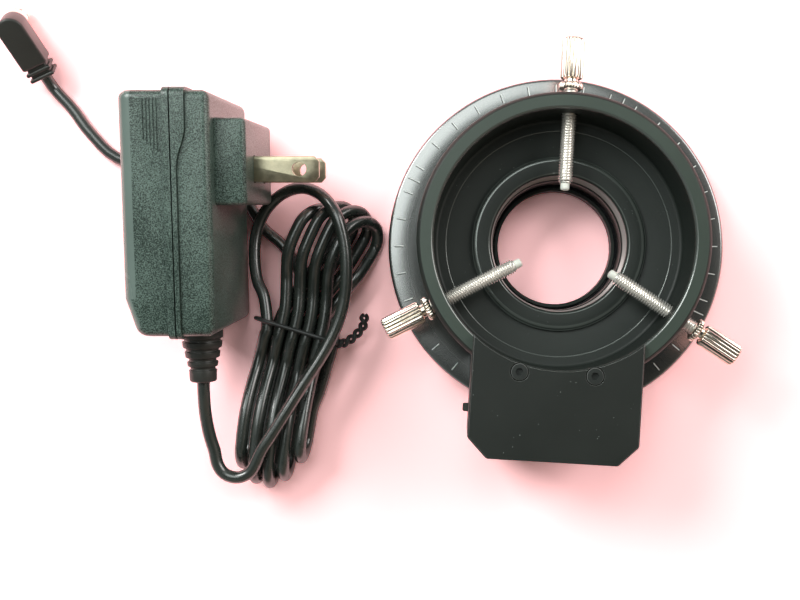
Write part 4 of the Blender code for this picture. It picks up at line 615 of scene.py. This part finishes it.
def beside_hank(run, across, height):
    """A point in bench coordinates, from its place along and across the hank."""
    bow = HANK_BOW * (run / HANK_HALF_LENGTH) ** 2
    along = Vector((math.cos(HANK_TURN), math.sin(HANK_TURN)))
    right = Vector((along.y, -along.x))
    flat = Vector((HANK_X, HANK_Y)) + along * run + right * (across + bow)
    return Vector((flat.x, flat.y, height))


def hank_point(turn):
    """Where the lead lies after so many turns: down on top, a fold, up below, a fold."""
    top_end = HANK_TOP_END - HANK_TOP_FAN * (turn - HANK_TOP_MIDDLE) ** 2
    bottom_end = HANK_BOTTOM_END + HANK_BOTTOM_FAN * (turn - HANK_BOTTOM_MIDDLE) ** 2
    top_reach = math.hypot(HANK_SLANT, HANK_FOLD)
    top = top_end - top_reach
    bottom = bottom_end + HANK_FOLD
    across = turn - HANK_MIDDLE
    past_top = (turn + 0.25) % 1
    from_top = min(past_top, 1 - past_top)
    side = 1 if past_top < 0.5 else -1
    if from_top < HANK_FOLD_SHARE:
        angle = side * from_top / HANK_FOLD_SHARE * math.pi / 2
        low, high = hank_heights(top)
        return beside_hank(
            top + top_reach * math.cos(angle),
            HANK_END_PITCH * across - HANK_SLANT * math.sin(angle),
            (low + high) / 2 + (high - low) / 2 * math.sin(angle),
        )
    if from_top > 0.5 - HANK_FOLD_SHARE:
        angle = side * (0.5 - from_top) / HANK_FOLD_SHARE * math.pi / 2
        low, high = hank_heights(bottom)
        return beside_hank(
            bottom - HANK_FOLD * math.cos(angle),
            HANK_END_PITCH * across,
            (low + high) / 2 + (high - low) / 2 * math.sin(angle),
        )
    run = top + (bottom - top) * (from_top - HANK_FOLD_SHARE) / (0.5 - 2 * HANK_FOLD_SHARE)
    to_top, to_bottom = hank_share(run)
    pitch = HANK_PITCH + (HANK_END_PITCH - HANK_PITCH) * (to_top + to_bottom)
    low, high = hank_heights(run)
    return beside_hank(run, pitch * across - side * HANK_SLANT * to_top, high if side > 0 else low)


def hank_points():
    """The lead's way round the hank, with more points in its folds."""
    fold_step = 2 * HANK_FOLD_SHARE / HANK_FOLD_POINTS
    run_step = (0.5 - 2 * HANK_FOLD_SHARE) / HANK_RUN_POINTS
    turn, turns = -0.75 + HANK_FOLD_SHARE, []
    for step in ([run_step] * HANK_RUN_POINTS + [fold_step] * HANK_FOLD_POINTS) * 10:
        turn += step
        if HANK_START + run_step / 2 < turn < HANK_END - run_step / 2:
            turns.append(turn)
    return [hank_point(turn) for turn in [HANK_START, *turns, HANK_END]]


def smooth_route(route, steps=4):
    """A smooth curve through the route's points."""
    route = [Vector(point) for point in route]
    ends = [2 * route[0] - route[1], *route, 2 * route[-1] - route[-2]]
    fine = []
    for before, start, end, after in zip(ends, ends[1:], ends[2:], ends[3:]):
        for i in range(steps):
            t = i / steps
            middle = (end - before) / 2
            leaving = (after - start) / 2
            fine.append(
                (2 * t**3 - 3 * t**2 + 1) * start
                + (t**3 - 2 * t**2 + t) * middle
                + (3 * t**2 - 2 * t**3) * end
                + (t**3 - t**2) * leaving
            )
    fine.append(route[-1])
    return fine


def tube(name, points, radius, look, resolution=6):
    curve = bpy.data.curves.new(name, "CURVE")
    curve.dimensions = "3D"
    curve.bevel_depth = radius
    curve.bevel_resolution = resolution
    curve.use_fill_caps = True
    spline = curve.splines.new("POLY")
    spline.points.add(len(points) - 1)
    for place, point in zip(spline.points, points):
        place.co = (*point, 1)
    spline.use_smooth = True
    piece = bpy.data.objects.new(name, curve)
    SCENE.collection.objects.link(piece)
    curve.materials.append(LOOKS[look])
    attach(piece, ROOT)
    return piece


# The adapter leans on the tail, which passes under it so far from its lead's end
CROSSING_PLACE = 0.0330
ADAPTER_LEAN = math.asin((2 * CORD_RADIUS + GAP) / (CROSSING_PLACE - CORD_RADIUS))
ADAPTER = (
    Matrix.Translation((-0.0757, -0.0237, 0.00025))
    @ Matrix.Rotation(math.radians(3.4), 4, "Z")
    @ Matrix.Rotation(ADAPTER_LEAN, 4, "X")
)
MID_HEIGHT = 0.0215
RELIEF_X = 0.0136
RELIEF_LENGTH = 0.0144
PLUG_BARREL_WAY = Vector((-0.229, 0.517, -0.824)).normalized()
PLUG_LEAD_WAY = Vector((0.408, -0.718, -0.564))
PLUG_SIDE = PLUG_BARREL_WAY.cross(-PLUG_LEAD_WAY).normalized()
PLUG = Matrix.Translation((-0.1200, 0.0521, 0.0128)) @ (
    Matrix((PLUG_BARREL_WAY, PLUG_SIDE.cross(PLUG_BARREL_WAY), PLUG_SIDE)).transposed().to_4x4()
)
PLUG_LENGTH = 0.0145


def make_cord():
    """One unbroken lead, from the strain relief round the hank to the plug."""
    relief_end = ADAPTER @ Vector((RELIEF_X, -RELIEF_LENGTH, MID_HEIGHT))
    away = (relief_end - ADAPTER @ Vector((RELIEF_X, 0, MID_HEIGHT))).normalized()
    plug_end = PLUG @ Vector((0, -PLUG_LENGTH, 0))
    back = (plug_end - PLUG.translation).normalized()
    step = GAP + 2 * CORD_RADIUS
    route = [relief_end + away * GAP, relief_end + away * step]
    route += [Vector(point) for point in LEAD_WAY]
    route += hank_points()
    route += [beside_hank(*point) for point in TAIL_UNDER]
    route += [Vector(point) for point in TAIL_AWAY]
    route += [plug_end + back * step, plug_end + back * GAP]
    points = smooth_route(route)
    cord = tube("cord", points, CORD_RADIUS, "cord_jacket")
    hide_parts("cord_lead", "cord_hank", "cord_tail")
    length = sum((b - a).length for a, b in zip(points, points[1:]))
    for point in points:
        point.z = max(point.z, CORD_RADIUS + ON_BENCH)
    return cord, points[0], length


cord, cord_exit, cord_length = make_cord()


# Twist tie


def make_tie():
    """A coated wire: round the bundle once, its two ends twisted together."""
    loop = [beside_hank(TIE_PLACE, across, height) for across, height in TIE_LOOP]
    spine = smooth_route([beside_hank(*point) for point in TIE_SPINE], 14)
    strands = [[], []]
    for i, place in enumerate(spine):
        ahead = spine[min(i + 1, len(spine) - 1)] - spine[max(i - 1, 0)]
        side = ahead.cross(Vector((0, 0, 1))).normalized()
        up = side.cross(ahead).normalized()
        angle = math.pi / 2 + 2 * math.pi * i / 19
        offset = 0.00080 * (math.cos(angle) * side + math.sin(angle) * up)
        strands[0].append(place + offset)
        strands[1].append(place - offset)
    points = [*reversed(strands[0]), *smooth_route(loop), *strands[1]]
    tie = tube("tie", points, 0.0006, "tie_coating", resolution=4)
    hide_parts("twist_tie")
    return tie


tie = make_tie()


# Plug


def make_plug():
    """A round-headed block with two ribs at its neck, and a metal sleeve."""
    half = 0.00375
    angles = [math.radians(-90 + 180 * i / 32) for i in range(33)]
    outline = [(0.0036 * math.cos(a), 0.0036 * math.sin(a)) for a in angles]
    outline += [(-0.0109, 0.0036), (-0.0109, -0.0036)]
    sideways = Matrix(((0, 0, 1, 0), (1, 0, 0, 0), (0, 1, 0, 0), (0, 0, 0, 1)))
    body = prism("plug_block", outline, -half, half)
    body.transform(sideways)
    pocket = rod("pocket", 0.0030, (half - 0.0015, 0, 0), (half + 0.001, 0, 0))
    body = shaped(body, ("bevel", (0.0007, 4)), ("cut", pocket))
    moulded = ("black_plastic", ROOT, "black_plastic")
    pieces = [add_piece("plug_block", body, *moulded, ["plug_body"], matrix=PLUG)]
    neck = block("plug_neck", (-0.0029, -0.0143, -0.0029), (0.0029, -0.0100, 0.0029))
    neck = shaped(neck, ("bevel", (0.0009, 4)))
    pieces.append(add_piece("plug_neck", neck, *moulded, matrix=PLUG))
    for number, start in enumerate((-0.0145, -0.0127)):
        rib = block("plug_rib", (-0.00355, start, -0.00355), (0.00355, start + 0.0010, 0.00355))
        rib = shaped(rib, ("bevel", (0.0004, 3)))
        pieces.append(add_piece(f"plug_rib_{number}", rib, *moulded, matrix=PLUG))
    base, tip = half - 0.0019, half + 0.0095
    sleeve = [
        (0.00275, tip - 0.0002),
        (0.00275, tip - 0.0040),
        (0.00262, tip - 0.0041),
        (0.00262, tip - 0.0044),
        (0.00275, tip - 0.0045),
        (0.00275, base),
        (0.00105, base),
        (0.00105, tip - 0.0004),
        (0.00135, tip - 0.0004),
        (0.00135, base + 0.0003),
        (0.00245, base + 0.0003),
        (0.00245, tip),
        (0.0026, tip),
    ]
    across = PLUG @ Matrix.Rotation(math.radians(90), 4, "Y")
    sleeve = lathe("plug_sleeve", sleeve, 64)
    plated = ("nickel_plate", ROOT, "nickel_plate")
    pieces.append(add_piece("plug_sleeve", sleeve, *plated, ["plug_barrel"], matrix=across))
    return pieces


plug = make_plug()


# Ring, collar and tube


COLLAR_RADIUS = 0.0373
SCREW_HEIGHT = 0.0250
SCREW_ANGLES = {"top": 90, "left": 210, "right": 330}


def make_scale_ring():
    """The graduated ring, with its white marks every ten degrees."""
    profile = [
        (0.0454, 0.0090),
        (0.0460, 0.0084),
        (0.0460, 0.0006),
        (0.0454, 0.0000),
        (0.0370, 0.0000),
        (0.0370, 0.0033),
        (0.0351, 0.0033),
        (0.0351, 0.0043),
        (0.0370, 0.0043),
        (0.0370, 0.00585),
        (0.0376, 0.00585),
        (0.0376, 0.00745),
        (0.0370, 0.00745),
        (0.0370, 0.0090),
    ]
    # The narrow chamfers take the lighter edge look: a painted highlight.
    ring = with_edges(lathe("graduated_ring", soften(profile, 0.00026)), "bright_edge", 0.00024)
    on_ring = (RING, "scale_anodised")
    add_piece("graduated_ring", ring, "scale_anodised", *on_ring, ["scale_ring"], 25, ON_LAMP)
    add_piece("graduations", marks_mesh(0, 0.00028), "marks", *on_ring, matrix=ON_LAMP)
    # Dark bars set beside the marks: painted shade of their engraving.
    mark_shade_bars = marks_mesh(0.00025, 0.00020)
    add_piece("mark_grooves", mark_shade_bars, "mark_grooves", *on_ring, matrix=ON_LAMP)


def marks_mesh(offset, width):
    """Thin bars on the ring's top, set off sideways from the places of the marks."""

    def fill(shape):
        marks = [(3.3 + 10 * i, 0.0418, 0.0443) for i in range(36)]
        marks += [(68.3 + 90 * i, 0.0412, 0.0447) for i in range(4)]
        for degrees, start, end in marks:
            place = Matrix.Rotation(math.radians(degrees), 4, "Z")
            place @= Matrix.Translation(((start + end) / 2, offset, 0.00900))
            place @= Matrix.Diagonal((end - start, width, 0.00004, 1))
            bmesh.ops.create_cube(shape, size=1, matrix=place)

    return mesh_of("marks", fill)


def make_collar():
    """The collar that takes the microscope's head, with three tapped holes."""
    profile = [
        (0.0364, 0.0330),
        (COLLAR_RADIUS, 0.0321),
        (COLLAR_RADIUS, 0.0148),
        (0.0197, 0.0148),
        (0.0197, 0.0170),
        (0.0300, 0.0170),
        (0.0301, 0.0171),
        (0.0324, 0.0171),
        (0.0330, 0.0177),
        (0.0330, 0.0325),
        (0.0335, 0.0330),
    ]
    # The narrow chamfers take the lighter edge look: a painted highlight.
    collar = with_edges(lathe("collar", soften(profile, 0.00028)), "bright_edge", 0.00026)
    cuts = []
    for degrees in SCREW_ANGLES.values():
        way = Vector((math.cos(math.radians(degrees)), math.sin(math.radians(degrees)), 0))
        up = Vector((0, 0, SCREW_HEIGHT))
        cuts.append(("cut", rod("hole", 0.0022, way * 0.0315 + up, way * 0.0385 + up, 32)))
    collar = shaped(collar, *cuts)
    on_lamp = (ROOT, "black_anodised")
    add_piece("collar", collar, "black_anodised", *on_lamp, ["mount_collar"], 25, ON_LAMP)
    # The top land is a thin ring in a lighter colour: a painted sheen.
    land = [(0.0336, 0.0328), (0.0363, 0.0328), (0.0363, 0.03303), (0.0336, 0.03303)]
    land = lathe("collar_land", land)
    add_piece("collar_land", land, "rim_anodised", *on_lamp, [], 25, ON_LAMP)


def make_tube():
    """The central tube, with a fine thread in its bore and a step low down."""
    thread = [(0.0182, 0.0172), (0.0182, 0.0118), (0.0180, 0.0118)]
    for i in range(9):
        height = 0.0120 + 0.00055 * i
        thread += [(0.0180, height), (0.01775, height + 0.00018), (0.0180, height + 0.00036)]
    thread.append((0.0180, 0.0172))
    # The thread takes the pale pinkish look: a painted reflection.
    thread = lathe("bore_thread", thread)
    on_lamp = (ROOT, "black_anodised")
    add_piece("bore_thread", thread, "bore_thread", *on_lamp, [], 25, ON_LAMP)
    profile = [
        (0.0220, 0.0185),
        (0.0226, 0.01835),
        (0.0228, 0.0179),
        (0.0232, 0.0178),
        (0.0232, 0.0173),
        (0.0194, 0.0173),
        (0.0194, 0.0047),
        (0.0174, 0.0047),
        (0.0174, 0.0110),
        (0.0181, 0.0117),
        (0.0181, 0.0173),
        (0.0180, 0.0174),
        (0.0180, 0.0179),
        (0.0186, 0.0185),
    ]
    body = lathe("viewing_tube", soften(profile, 0.00016))
    # The narrow chamfers take the lighter edge look: a painted highlight.
    body = with_edges(body, "bright_edge", 0.00030)
    add_piece("viewing_tube", body, "black_anodised", *on_lamp, ["center_tube"], 25, ON_LAMP)


make_scale_ring()
make_collar()
make_tube()


# Thumbscrews


def ridged(name, outline, count, per=6):
    """A knob round X with straight rounded ridges, from places, radii and depths."""
    rows = []
    for place, radius, depth in outline:
        row = []
        for i in range(count * per):
            angle = 2 * math.pi * i / (count * per)
            reach = radius - depth * (0.5 - 0.5 * math.cos(2 * math.pi * i / per)) ** 2
            row.append((place, reach * math.cos(angle), reach * math.sin(angle)))
        rows.append(row)
    return skin(name, rows)


def thread_rows(radius, depth, pitch, start, end, count=28, per=8):
    """Rows along X of a V thread that runs out at both ends."""
    rows = []
    total = round((end - start) / pitch * per)
    for i in range(total + 1):
        place = start + (end - start) * i / total
        fade = min(1, (place - start) / pitch, (end - place) / pitch)
        row = []
        for j in range(count):
            angle = 2 * math.pi * j / count
            phase = (place / pitch - j / count) % 1
            reach = radius - depth * fade * 2 * min(phase, 1 - phase)
            reach -= 0.0005 * max(0, 1 - (place - start) / pitch)
            row.append((place, reach * math.cos(angle), reach * math.sin(angle)))
        rows.append(row)
    return rows


def make_thumbscrew(name, backed_off):
    """A knurled screw with a check disc, a thread and a nylon tip that only slides."""
    way = math.radians(SCREW_ANGLES[name])
    place = (backed_off * math.cos(way), backed_off * math.sin(way), SCREW_HEIGHT)
    matrix = ON_LAMP @ Matrix.Translation(place) @ Matrix.Rotation(way, 4, "Z")
    plated = (f"screw_{name}", "nickel_plate")
    start = COLLAR_RADIUS + GAP
    disc = start + 0.0020
    head = disc + 0.0008
    end = head + 0.0107
    tip = start - 0.0240
    shank = skin("shank", thread_rows(0.00198, 0.00050, 0.0007, tip, start + 0.0002))
    bore = rod("bore", 0.0011, (tip - 0.001, 0, 0), (tip + 0.0028, 0, 0), 24)
    shank = shaped(shank, ("cut", bore))
    add_piece(f"shank_{name}", shank, "screw_thread", *plated, [f"thumbscrew_{name}"], 40, matrix)
    profile = [
        (0.0009, 0.0022),
        (0.0009, 0),
        (0.00118, 0),
        (0.00118, -0.0014),
        (0.0010, -0.0018),
        (0.0004, -0.0020),
    ]
    pad = turned("pad", soften(profile, 0.0001, closed=False), 32)
    along = matrix @ Matrix.Translation((tip, 0, 0)) @ Matrix.Rotation(math.radians(90), 4, "Y")
    tip_node = f"screw_tip_{name}"
    add_piece(f"nylon_pad_{name}", pad, "nylon", f"pad_{name}", "nylon", [tip_node], matrix=along)
    neck = rod("neck", 0.0018, (start, 0, 0), (head + 0.003, 0, 0), 32)
    add_piece(f"neck_{name}", neck, "nickel_plate", *plated, matrix=matrix)
    outline = [
        (start, 0.0023, 0),
        (start + 0.0003, 0.0029, 0.0001),
        (start + 0.0006, 0.0031, 0.00036),
        (disc - 0.0005, 0.0031, 0.00036),
        (disc - 0.0001, 0.0027, 0.0001),
        (disc, 0.0022, 0),
    ]
    knob = ridged("disc", outline, 22)
    add_piece(f"disc_{name}", knob, "nickel_plate", *plated, smooth=50, matrix=matrix)
    outline = [
        (head, 0.0022, 0),
        (head + 0.0003, 0.0028, 0.0001),
        (head + 0.0007, 0.0030, 0.00042),
        (end - 0.0008, 0.0030, 0.00042),
        (end - 0.0003, 0.0028, 0.0001),
        (end, 0.0024, 0),
        (end + 0.00001, 0.0012, 0),
    ]
    knob = ridged("head", outline, 18)
    add_piece(f"head_{name}", knob, "nickel_plate", *plated, smooth=50, matrix=matrix)


make_thumbscrew("top", 0.0016)
make_thumbscrew("left", 0.0)
make_thumbscrew("right", 0.0030)


# Cover and its screws


def soften_solid(node, width, slot):
    """A CAD piece again, with its sharp edges bevelled, and a painted highlight on the bevels."""
    source = NODES[node]
    mesh = source.data.copy()
    mesh.transform(source.matrix_world)
    shape = bmesh.new()
    shape.from_mesh(mesh)
    bmesh.ops.remove_doubles(shape, verts=shape.verts, dist=1e-6)
    bmesh.ops.dissolve_limit(
        shape, angle_limit=math.radians(1), verts=shape.verts, edges=shape.edges
    )
    shape.to_mesh(mesh)
    shape.free()
    # The bevels take the lighter edge look: a painted highlight.
    mesh = shaped(with_edges(mesh, "worn_edge"), ("bevel", (width, 2)))
    add_piece(f"{node}_highlit", mesh, "box_anodised", ROOT, slot, [node], smooth=0)


COVER_SCREW_CIRCLE = 0.03515
COVER_SCREW_X = 0.00945


def make_cover_screws():
    """Countersunk screws with a painted highlight on the head's rim, and a hexagon socket."""
    y = -math.sqrt(COVER_SCREW_CIRCLE**2 - COVER_SCREW_X**2)
    profile = [
        (0.0010, 0.0290),
        (0.0010, 0.0337),
        (0.0019, 0.0346),
        (0.0021, 0.03475),
        (0.0020, 0.0349),
        (0.0014, 0.03492),
    ]
    blackened = ("black_screw", ROOT, "black_screw")
    for side, x in (("left", -COVER_SCREW_X), ("right", COVER_SCREW_X)):
        head = turned("head", profile, 48)
        socket = rod("socket", 0.00105, (0, 0, 0.0341), (0, 0, 0.0360), 6)
        head = shaped(head, ("cut", socket))
        # The head's outer rim takes the lighter edge look: a painted highlight.
        head = with_look(head, "worn_edge", lambda face: face.center.xy.length > 0.00175)
        matrix = ON_LAMP @ Matrix.Translation((x, y, 0))
        node = f"cover_screw_{side}"
        add_piece(f"screw_head_{side}", head, *blackened, [node], matrix=matrix)


soften_solid("cover_plate", 0.00018, "black_anodised")
make_cover_screws()


# Adapter


ADAPTER_WIDTH = 0.0220
ADAPTER_LENGTH = 0.0588
ADAPTER_HEIGHT = 0.0430
ADAPTER_TAPER = 0.0030
ADAPTER_TAPER_END = 0.0092
SEAM = 0.0127
BAND = 0.0007
BLADE_PLACE = 0.0407
BLADE_HEIGHTS = {"upper": 0.00635, "lower": -0.00635}
# The stepped edge of the front band: places across and along the adapter
BAND_WAY = [
    (0.0164, 0.0598),
    (0.0163, 0.0492),
    (0.0160, 0.0478),
    (0.0154, 0.0458),
    (0.0146, 0.0436),
    (0.0143, 0.0422),
    (0.0141, 0.0400),
    (0.0141, -0.0010),
]


def rounded(low, high, radii, steps=8):
    """A rectangle with rounded corners: upper right, upper left, lower left, lower right."""
    outline = []
    for i, radius in enumerate(radii):
        x = (high[0] - radius, low[0] + radius, low[0] + radius, high[0] - radius)[i]
        y = (high[1] - radius, high[1] - radius, low[1] + radius, low[1] + radius)[i]
        for j in range(steps + 1):
            angle = math.pi / 2 * (i + j / steps)
            outline.append((x + radius * math.cos(angle), y + radius * math.sin(angle)))
    return outline


def adapter_form():
    """The adapter's outer form: wide soft edges at the back, drawn in towards the lead."""
    edge, rows = 0.0021, []
    turns = [math.pi / 2 * i / 7 for i in range(8)]
    places = [(edge * (1 - math.cos(turn)), edge * (1 - math.sin(turn))) for turn in turns]
    ends = [(ADAPTER_LENGTH - y, inset) for y, inset in reversed(places)]
    for y, inset in [*places, (ADAPTER_TAPER_END, 0), *ends]:
        taper = ADAPTER_TAPER * max(0, 1 - y / ADAPTER_TAPER_END)
        radii = [max(radius - inset, 0.0003) for radius in (0.0018, 0.0034, 0.0034, 0.0018)]
        low, high = (inset + taper, inset), (ADAPTER_WIDTH - inset, ADAPTER_HEIGHT - inset)
        rows.append([(x, y, z) for x, z in rounded(low, high, radii)])
    return skin("adapter_form", rows)


def band(name, low, high):
    """A raised band round the shells beside the seam."""
    corner = (ADAPTER_LENGTH + BAND, ADAPTER_HEIGHT + BAND)
    strip = prism(name, rounded((-BAND, -0.0001), corner, [0.0022] * 4, 6), low, high)
    strip.transform(Matrix(((0, 0, 1, 0), (1, 0, 0, 0), (0, 1, 0, 0), (0, 0, 0, 1))))
    return strip


def on_highlit_edge(face):
    """Whether a face is on the rounded long edge that shines in the light, where a painted
    highlight goes.
    """
    return face.center.z > 0.0394 and face.center.x < 0.0034


def make_adapter():
    """The two shells, each with its band beside the seam, and the block with the blades."""
    far = 0.1
    moulded = ("adapter_plastic", ROOT, "adapter_plastic")
    inside = [(0.0044, 0.0020), (0.0200, 0.0020), (0.0200, 0.0568)]
    inside += [(0.0020, 0.0568), (0.0020, ADAPTER_TAPER_END)]
    hollow = prism("hollow", inside, 0.0020, 0.0410)
    hole = rod("hole", 0.0038, (RELIEF_X, -0.002, MID_HEIGHT), (RELIEF_X, 0.003, MID_HEIGHT))
    cuts = [
        ("join", shaped(band("rear_band", 0.0110, 0.0150), ("bevel", (0.00025, 2)))),
        ("cut", block("front", (SEAM, -far, -far), (far, far, far))),
        ("cut", hollow.copy()),
        ("cut", hole.copy()),
    ]
    for i, near in enumerate((0.0470, 0.0463, 0.0456, 0.0449, 0.0442)):
        x = 0.0066 + 0.00082 * i
        low, high = (x - 0.0002, near, 0.04275), (x + 0.0002, 0.0566, 0.0440)
        cuts.append(("cut", block("groove", low, high)))
    rear = shaped(adapter_form(), *cuts)
    # That long edge takes the lighter edge look: a painted highlight.
    rear = with_look(rear, "adapter_edge", on_highlit_edge)
    add_piece("rear_shell", rear, *moulded, ["adapter_rear_shell"], 35, ADAPTER)

    root = 0.0296
    blade_block = block("blade_block", (0.0210, 0.0317, 0.0045), (root, 0.0527, 0.0385))
    blade_block = shaped(blade_block, ("bevel", (0.0013, 5)))
    front_band = shaped(band("front_band", 0.0100, 0.0180), ("bevel", (0.00025, 2)))
    beyond = prism("beyond", [*BAND_WAY, (0.03, -0.0010), (0.03, 0.0598)], -0.01, 0.06)
    front_band = shaped(front_band, ("cut", beyond))
    cuts = [
        ("join", front_band),
        ("cut", block("rear", (-far, -far, -far), (SEAM + 0.00032, far, far))),
        ("join", blade_block),
        ("cut", hollow),
        ("cut", hole),
    ]
    for z in sorted(BLADE_HEIGHTS.values()):
        low = (0.0150, BLADE_PLACE - 0.0034, MID_HEIGHT + z - 0.00098)
        high = (0.0400, BLADE_PLACE + 0.0034, MID_HEIGHT + z + 0.00098)
        cuts.append(("cut", block("slot", low, high)))
    line = BAND_WAY + [(x + 0.00022, y) for x, y in reversed(BAND_WAY)]
    cuts.append(("cut", prism("line", line, 0.04275, 0.0440)))
    front = shaped(adapter_form(), *cuts)
    add_piece("front_shell", front, *moulded, ["adapter_front_shell"], 35, ADAPTER)
    for side, z in BLADE_HEIGHTS.items():
        make_blade(side, root, z)


def make_blade(side, root, z):
    """A flat blade with a worked tip and a hole."""
    tip = root + 0.0163
    y, half = BLADE_PLACE, 0.003175
    outline = [
        (0.0185, y - half),
        (tip - 0.0012, y - half),
        (tip, y - half + 0.0012),
        (tip, y + half - 0.0012),
        (tip - 0.0012, y + half),
        (0.0185, y + half),
    ]
    middle = MID_HEIGHT + z
    blade = prism("blade", outline, middle - 0.00075, middle + 0.00075)
    x = root + 0.0113
    hole = rod("hole", 0.0018, (x, y, middle - 0.002), (x, y, middle + 0.002))
    blade = shaped(blade, ("bevel", (0.00022, 2)), ("cut", hole))
    node = f"blade_{side}"
    add_piece(f"flat_{node}", blade, "blade_plate", ROOT, "nickel_plate", [node], matrix=ADAPTER)


def make_relief():
    """The ribbed strain relief: a wide collar, then ribs that get narrower."""
    profile = [
        (0.0030, 0.0038),
        (0.0048, 0.0038),
        (0.0048, 0.0023),
        (0.0035, 0.0023),
        (0.0035, -0.0007),
        (0.0055, -0.0007),
        (0.0054, -0.0028),
        (0.0047, -0.0030),
        (0.0047, -0.0037),
        (0.0052, -0.0038),
        (0.0050, -0.0054),
        (0.0042, -0.0056),
        (0.0042, -0.0063),
        (0.0046, -0.0064),
        (0.0044, -0.0080),
        (0.0035, -0.0082),
        (0.0035, -0.0090),
        (0.0040, -0.0091),
        (0.0039, -0.0103),
        (0.0032, -0.0105),
        (0.0032, -0.0112),
        (0.0036, -0.0113),
        (0.0035, -0.0141),
        (0.0032, -0.0144),
        (0.0017, -0.0144),
    ]
    matrix = ADAPTER @ Matrix.Translation((RELIEF_X, 0, MID_HEIGHT))
    matrix @= Matrix.Rotation(math.radians(-90), 4, "X")
    relief = turned("relief", soften(profile, 0.00025, closed=False), 64)
    moulded = ("black_plastic", ROOT, "black_plastic")
    add_piece("relief", relief, *moulded, ["strain_relief"], matrix=matrix)


make_adapter()
make_relief()


# Bench and light


def make_stage():
    """A pale bench: white in the light, and pink where the object shades it."""
    bench = bpy.data.objects.new("bench", block("bench", (-1.5, -1.5, -0.01), (1.5, 1.5, -0.00002)))
    SCENE.collection.objects.link(bench)
    material, nodes, links, shader = shader_of("bench")
    shader.inputs["Base Color"].default_value = (0.86, 0.66, 0.68, 1)
    shader.inputs["Roughness"].default_value = 0.8
    seen = nodes.new("ShaderNodeAddShader")
    for place in (0, 1):
        pale = nodes.new("ShaderNodeBsdfDiffuse")
        pale.inputs["Color"].default_value = (1.0, 0.58, 0.60, 1)
        links.new(pale.outputs["BSDF"], seen.inputs[place])
    path = nodes.new("ShaderNodeLightPath")
    share = path.outputs["Is Camera Ray"]
    for ray in ("Is Glossy Ray", "Is Transmission Ray"):
        either = nodes.new("ShaderNodeMath")
        either.operation = "MAXIMUM"
        links.new(share, either.inputs[0])
        links.new(path.outputs[ray], either.inputs[1])
        share = either.outputs[0]
    mix = nodes.new("ShaderNodeMixShader")
    links.new(share, mix.inputs[0])
    links.new(shader.outputs["BSDF"], mix.inputs[1])
    links.new(seen.outputs["Shader"], mix.inputs[2])
    links.new(mix.outputs["Shader"], nodes["Material Output"].inputs["Surface"])
    bench.data.materials.append(material)


def add_light(name, place, turn, size, power, colour=(1, 1, 1)):
    data = bpy.data.lights.new(name, "AREA")
    data.shape = "RECTANGLE"
    data.size, data.size_y = size
    data.energy = power
    data.color = colour
    light = bpy.data.objects.new(name, data)
    SCENE.collection.objects.link(light)
    light.matrix_world = Matrix.Translation(place) @ turn


def facing(place, target):
    return (Vector(target) - Vector(place)).to_track_quat("-Z", "Y").to_matrix().to_4x4()


def make_world():
    """A room round the bench: pale walls, warmer to the lower right, and dark overhead."""
    world = bpy.data.worlds.new("world")
    world.use_nodes = True
    nodes, links = world.node_tree.nodes, world.node_tree.links
    turn = nodes.new("ShaderNodeMapping")
    turn.inputs["Rotation"].default_value = (0, 0, math.radians(35))
    links.new(nodes.new("ShaderNodeTexCoord").outputs["Generated"], turn.inputs["Vector"])
    split = nodes.new("ShaderNodeSeparateXYZ")
    links.new(turn.outputs["Vector"], split.inputs["Vector"])
    cool, warm = (0.92, 1.00, 0.96, 1), (0.82, 0.66, 0.52, 1)
    sides = ramp(nodes, links, split.outputs["X"], cool, warm, 0.0, 0.7)
    heights = ramp(nodes, links, split.outputs["Z"], grey(1), grey(0.10), 0.74, 0.93)
    both = nodes.new("ShaderNodeMix")
    both.data_type = "RGBA"
    both.blend_type = "MULTIPLY"
    both.inputs["Factor"].default_value = 1
    links.new(sides, both.inputs[6])
    links.new(heights, both.inputs[7])
    links.new(both.outputs[2], nodes["Background"].inputs["Color"])
    nodes["Background"].inputs["Strength"].default_value = 0.34
    SCENE.world = world


make_stage()
KEY = (-0.60, 0.43, 0.67)
add_light("window", KEY, facing(KEY, (0, 0, 0)), (0.42, 0.40), 6.6, (0.98, 1.0, 0.98))
CEILING_TURN = Matrix.Rotation(math.radians(140), 4, "Z")
add_light("ceiling", (-0.135, 0.235, 0.80), CEILING_TURN, (0.30, 0.56), 1.9, (0.93, 1.0, 0.97))
FAR = (0.80, 0.42, 0.62)
add_light("far_window", FAR, facing(FAR, (0.03, 0, 0)), (0.60, 0.60), 5.8, (1.0, 0.96, 0.94))
make_world()
SCENE.view_settings.view_transform = "Standard"
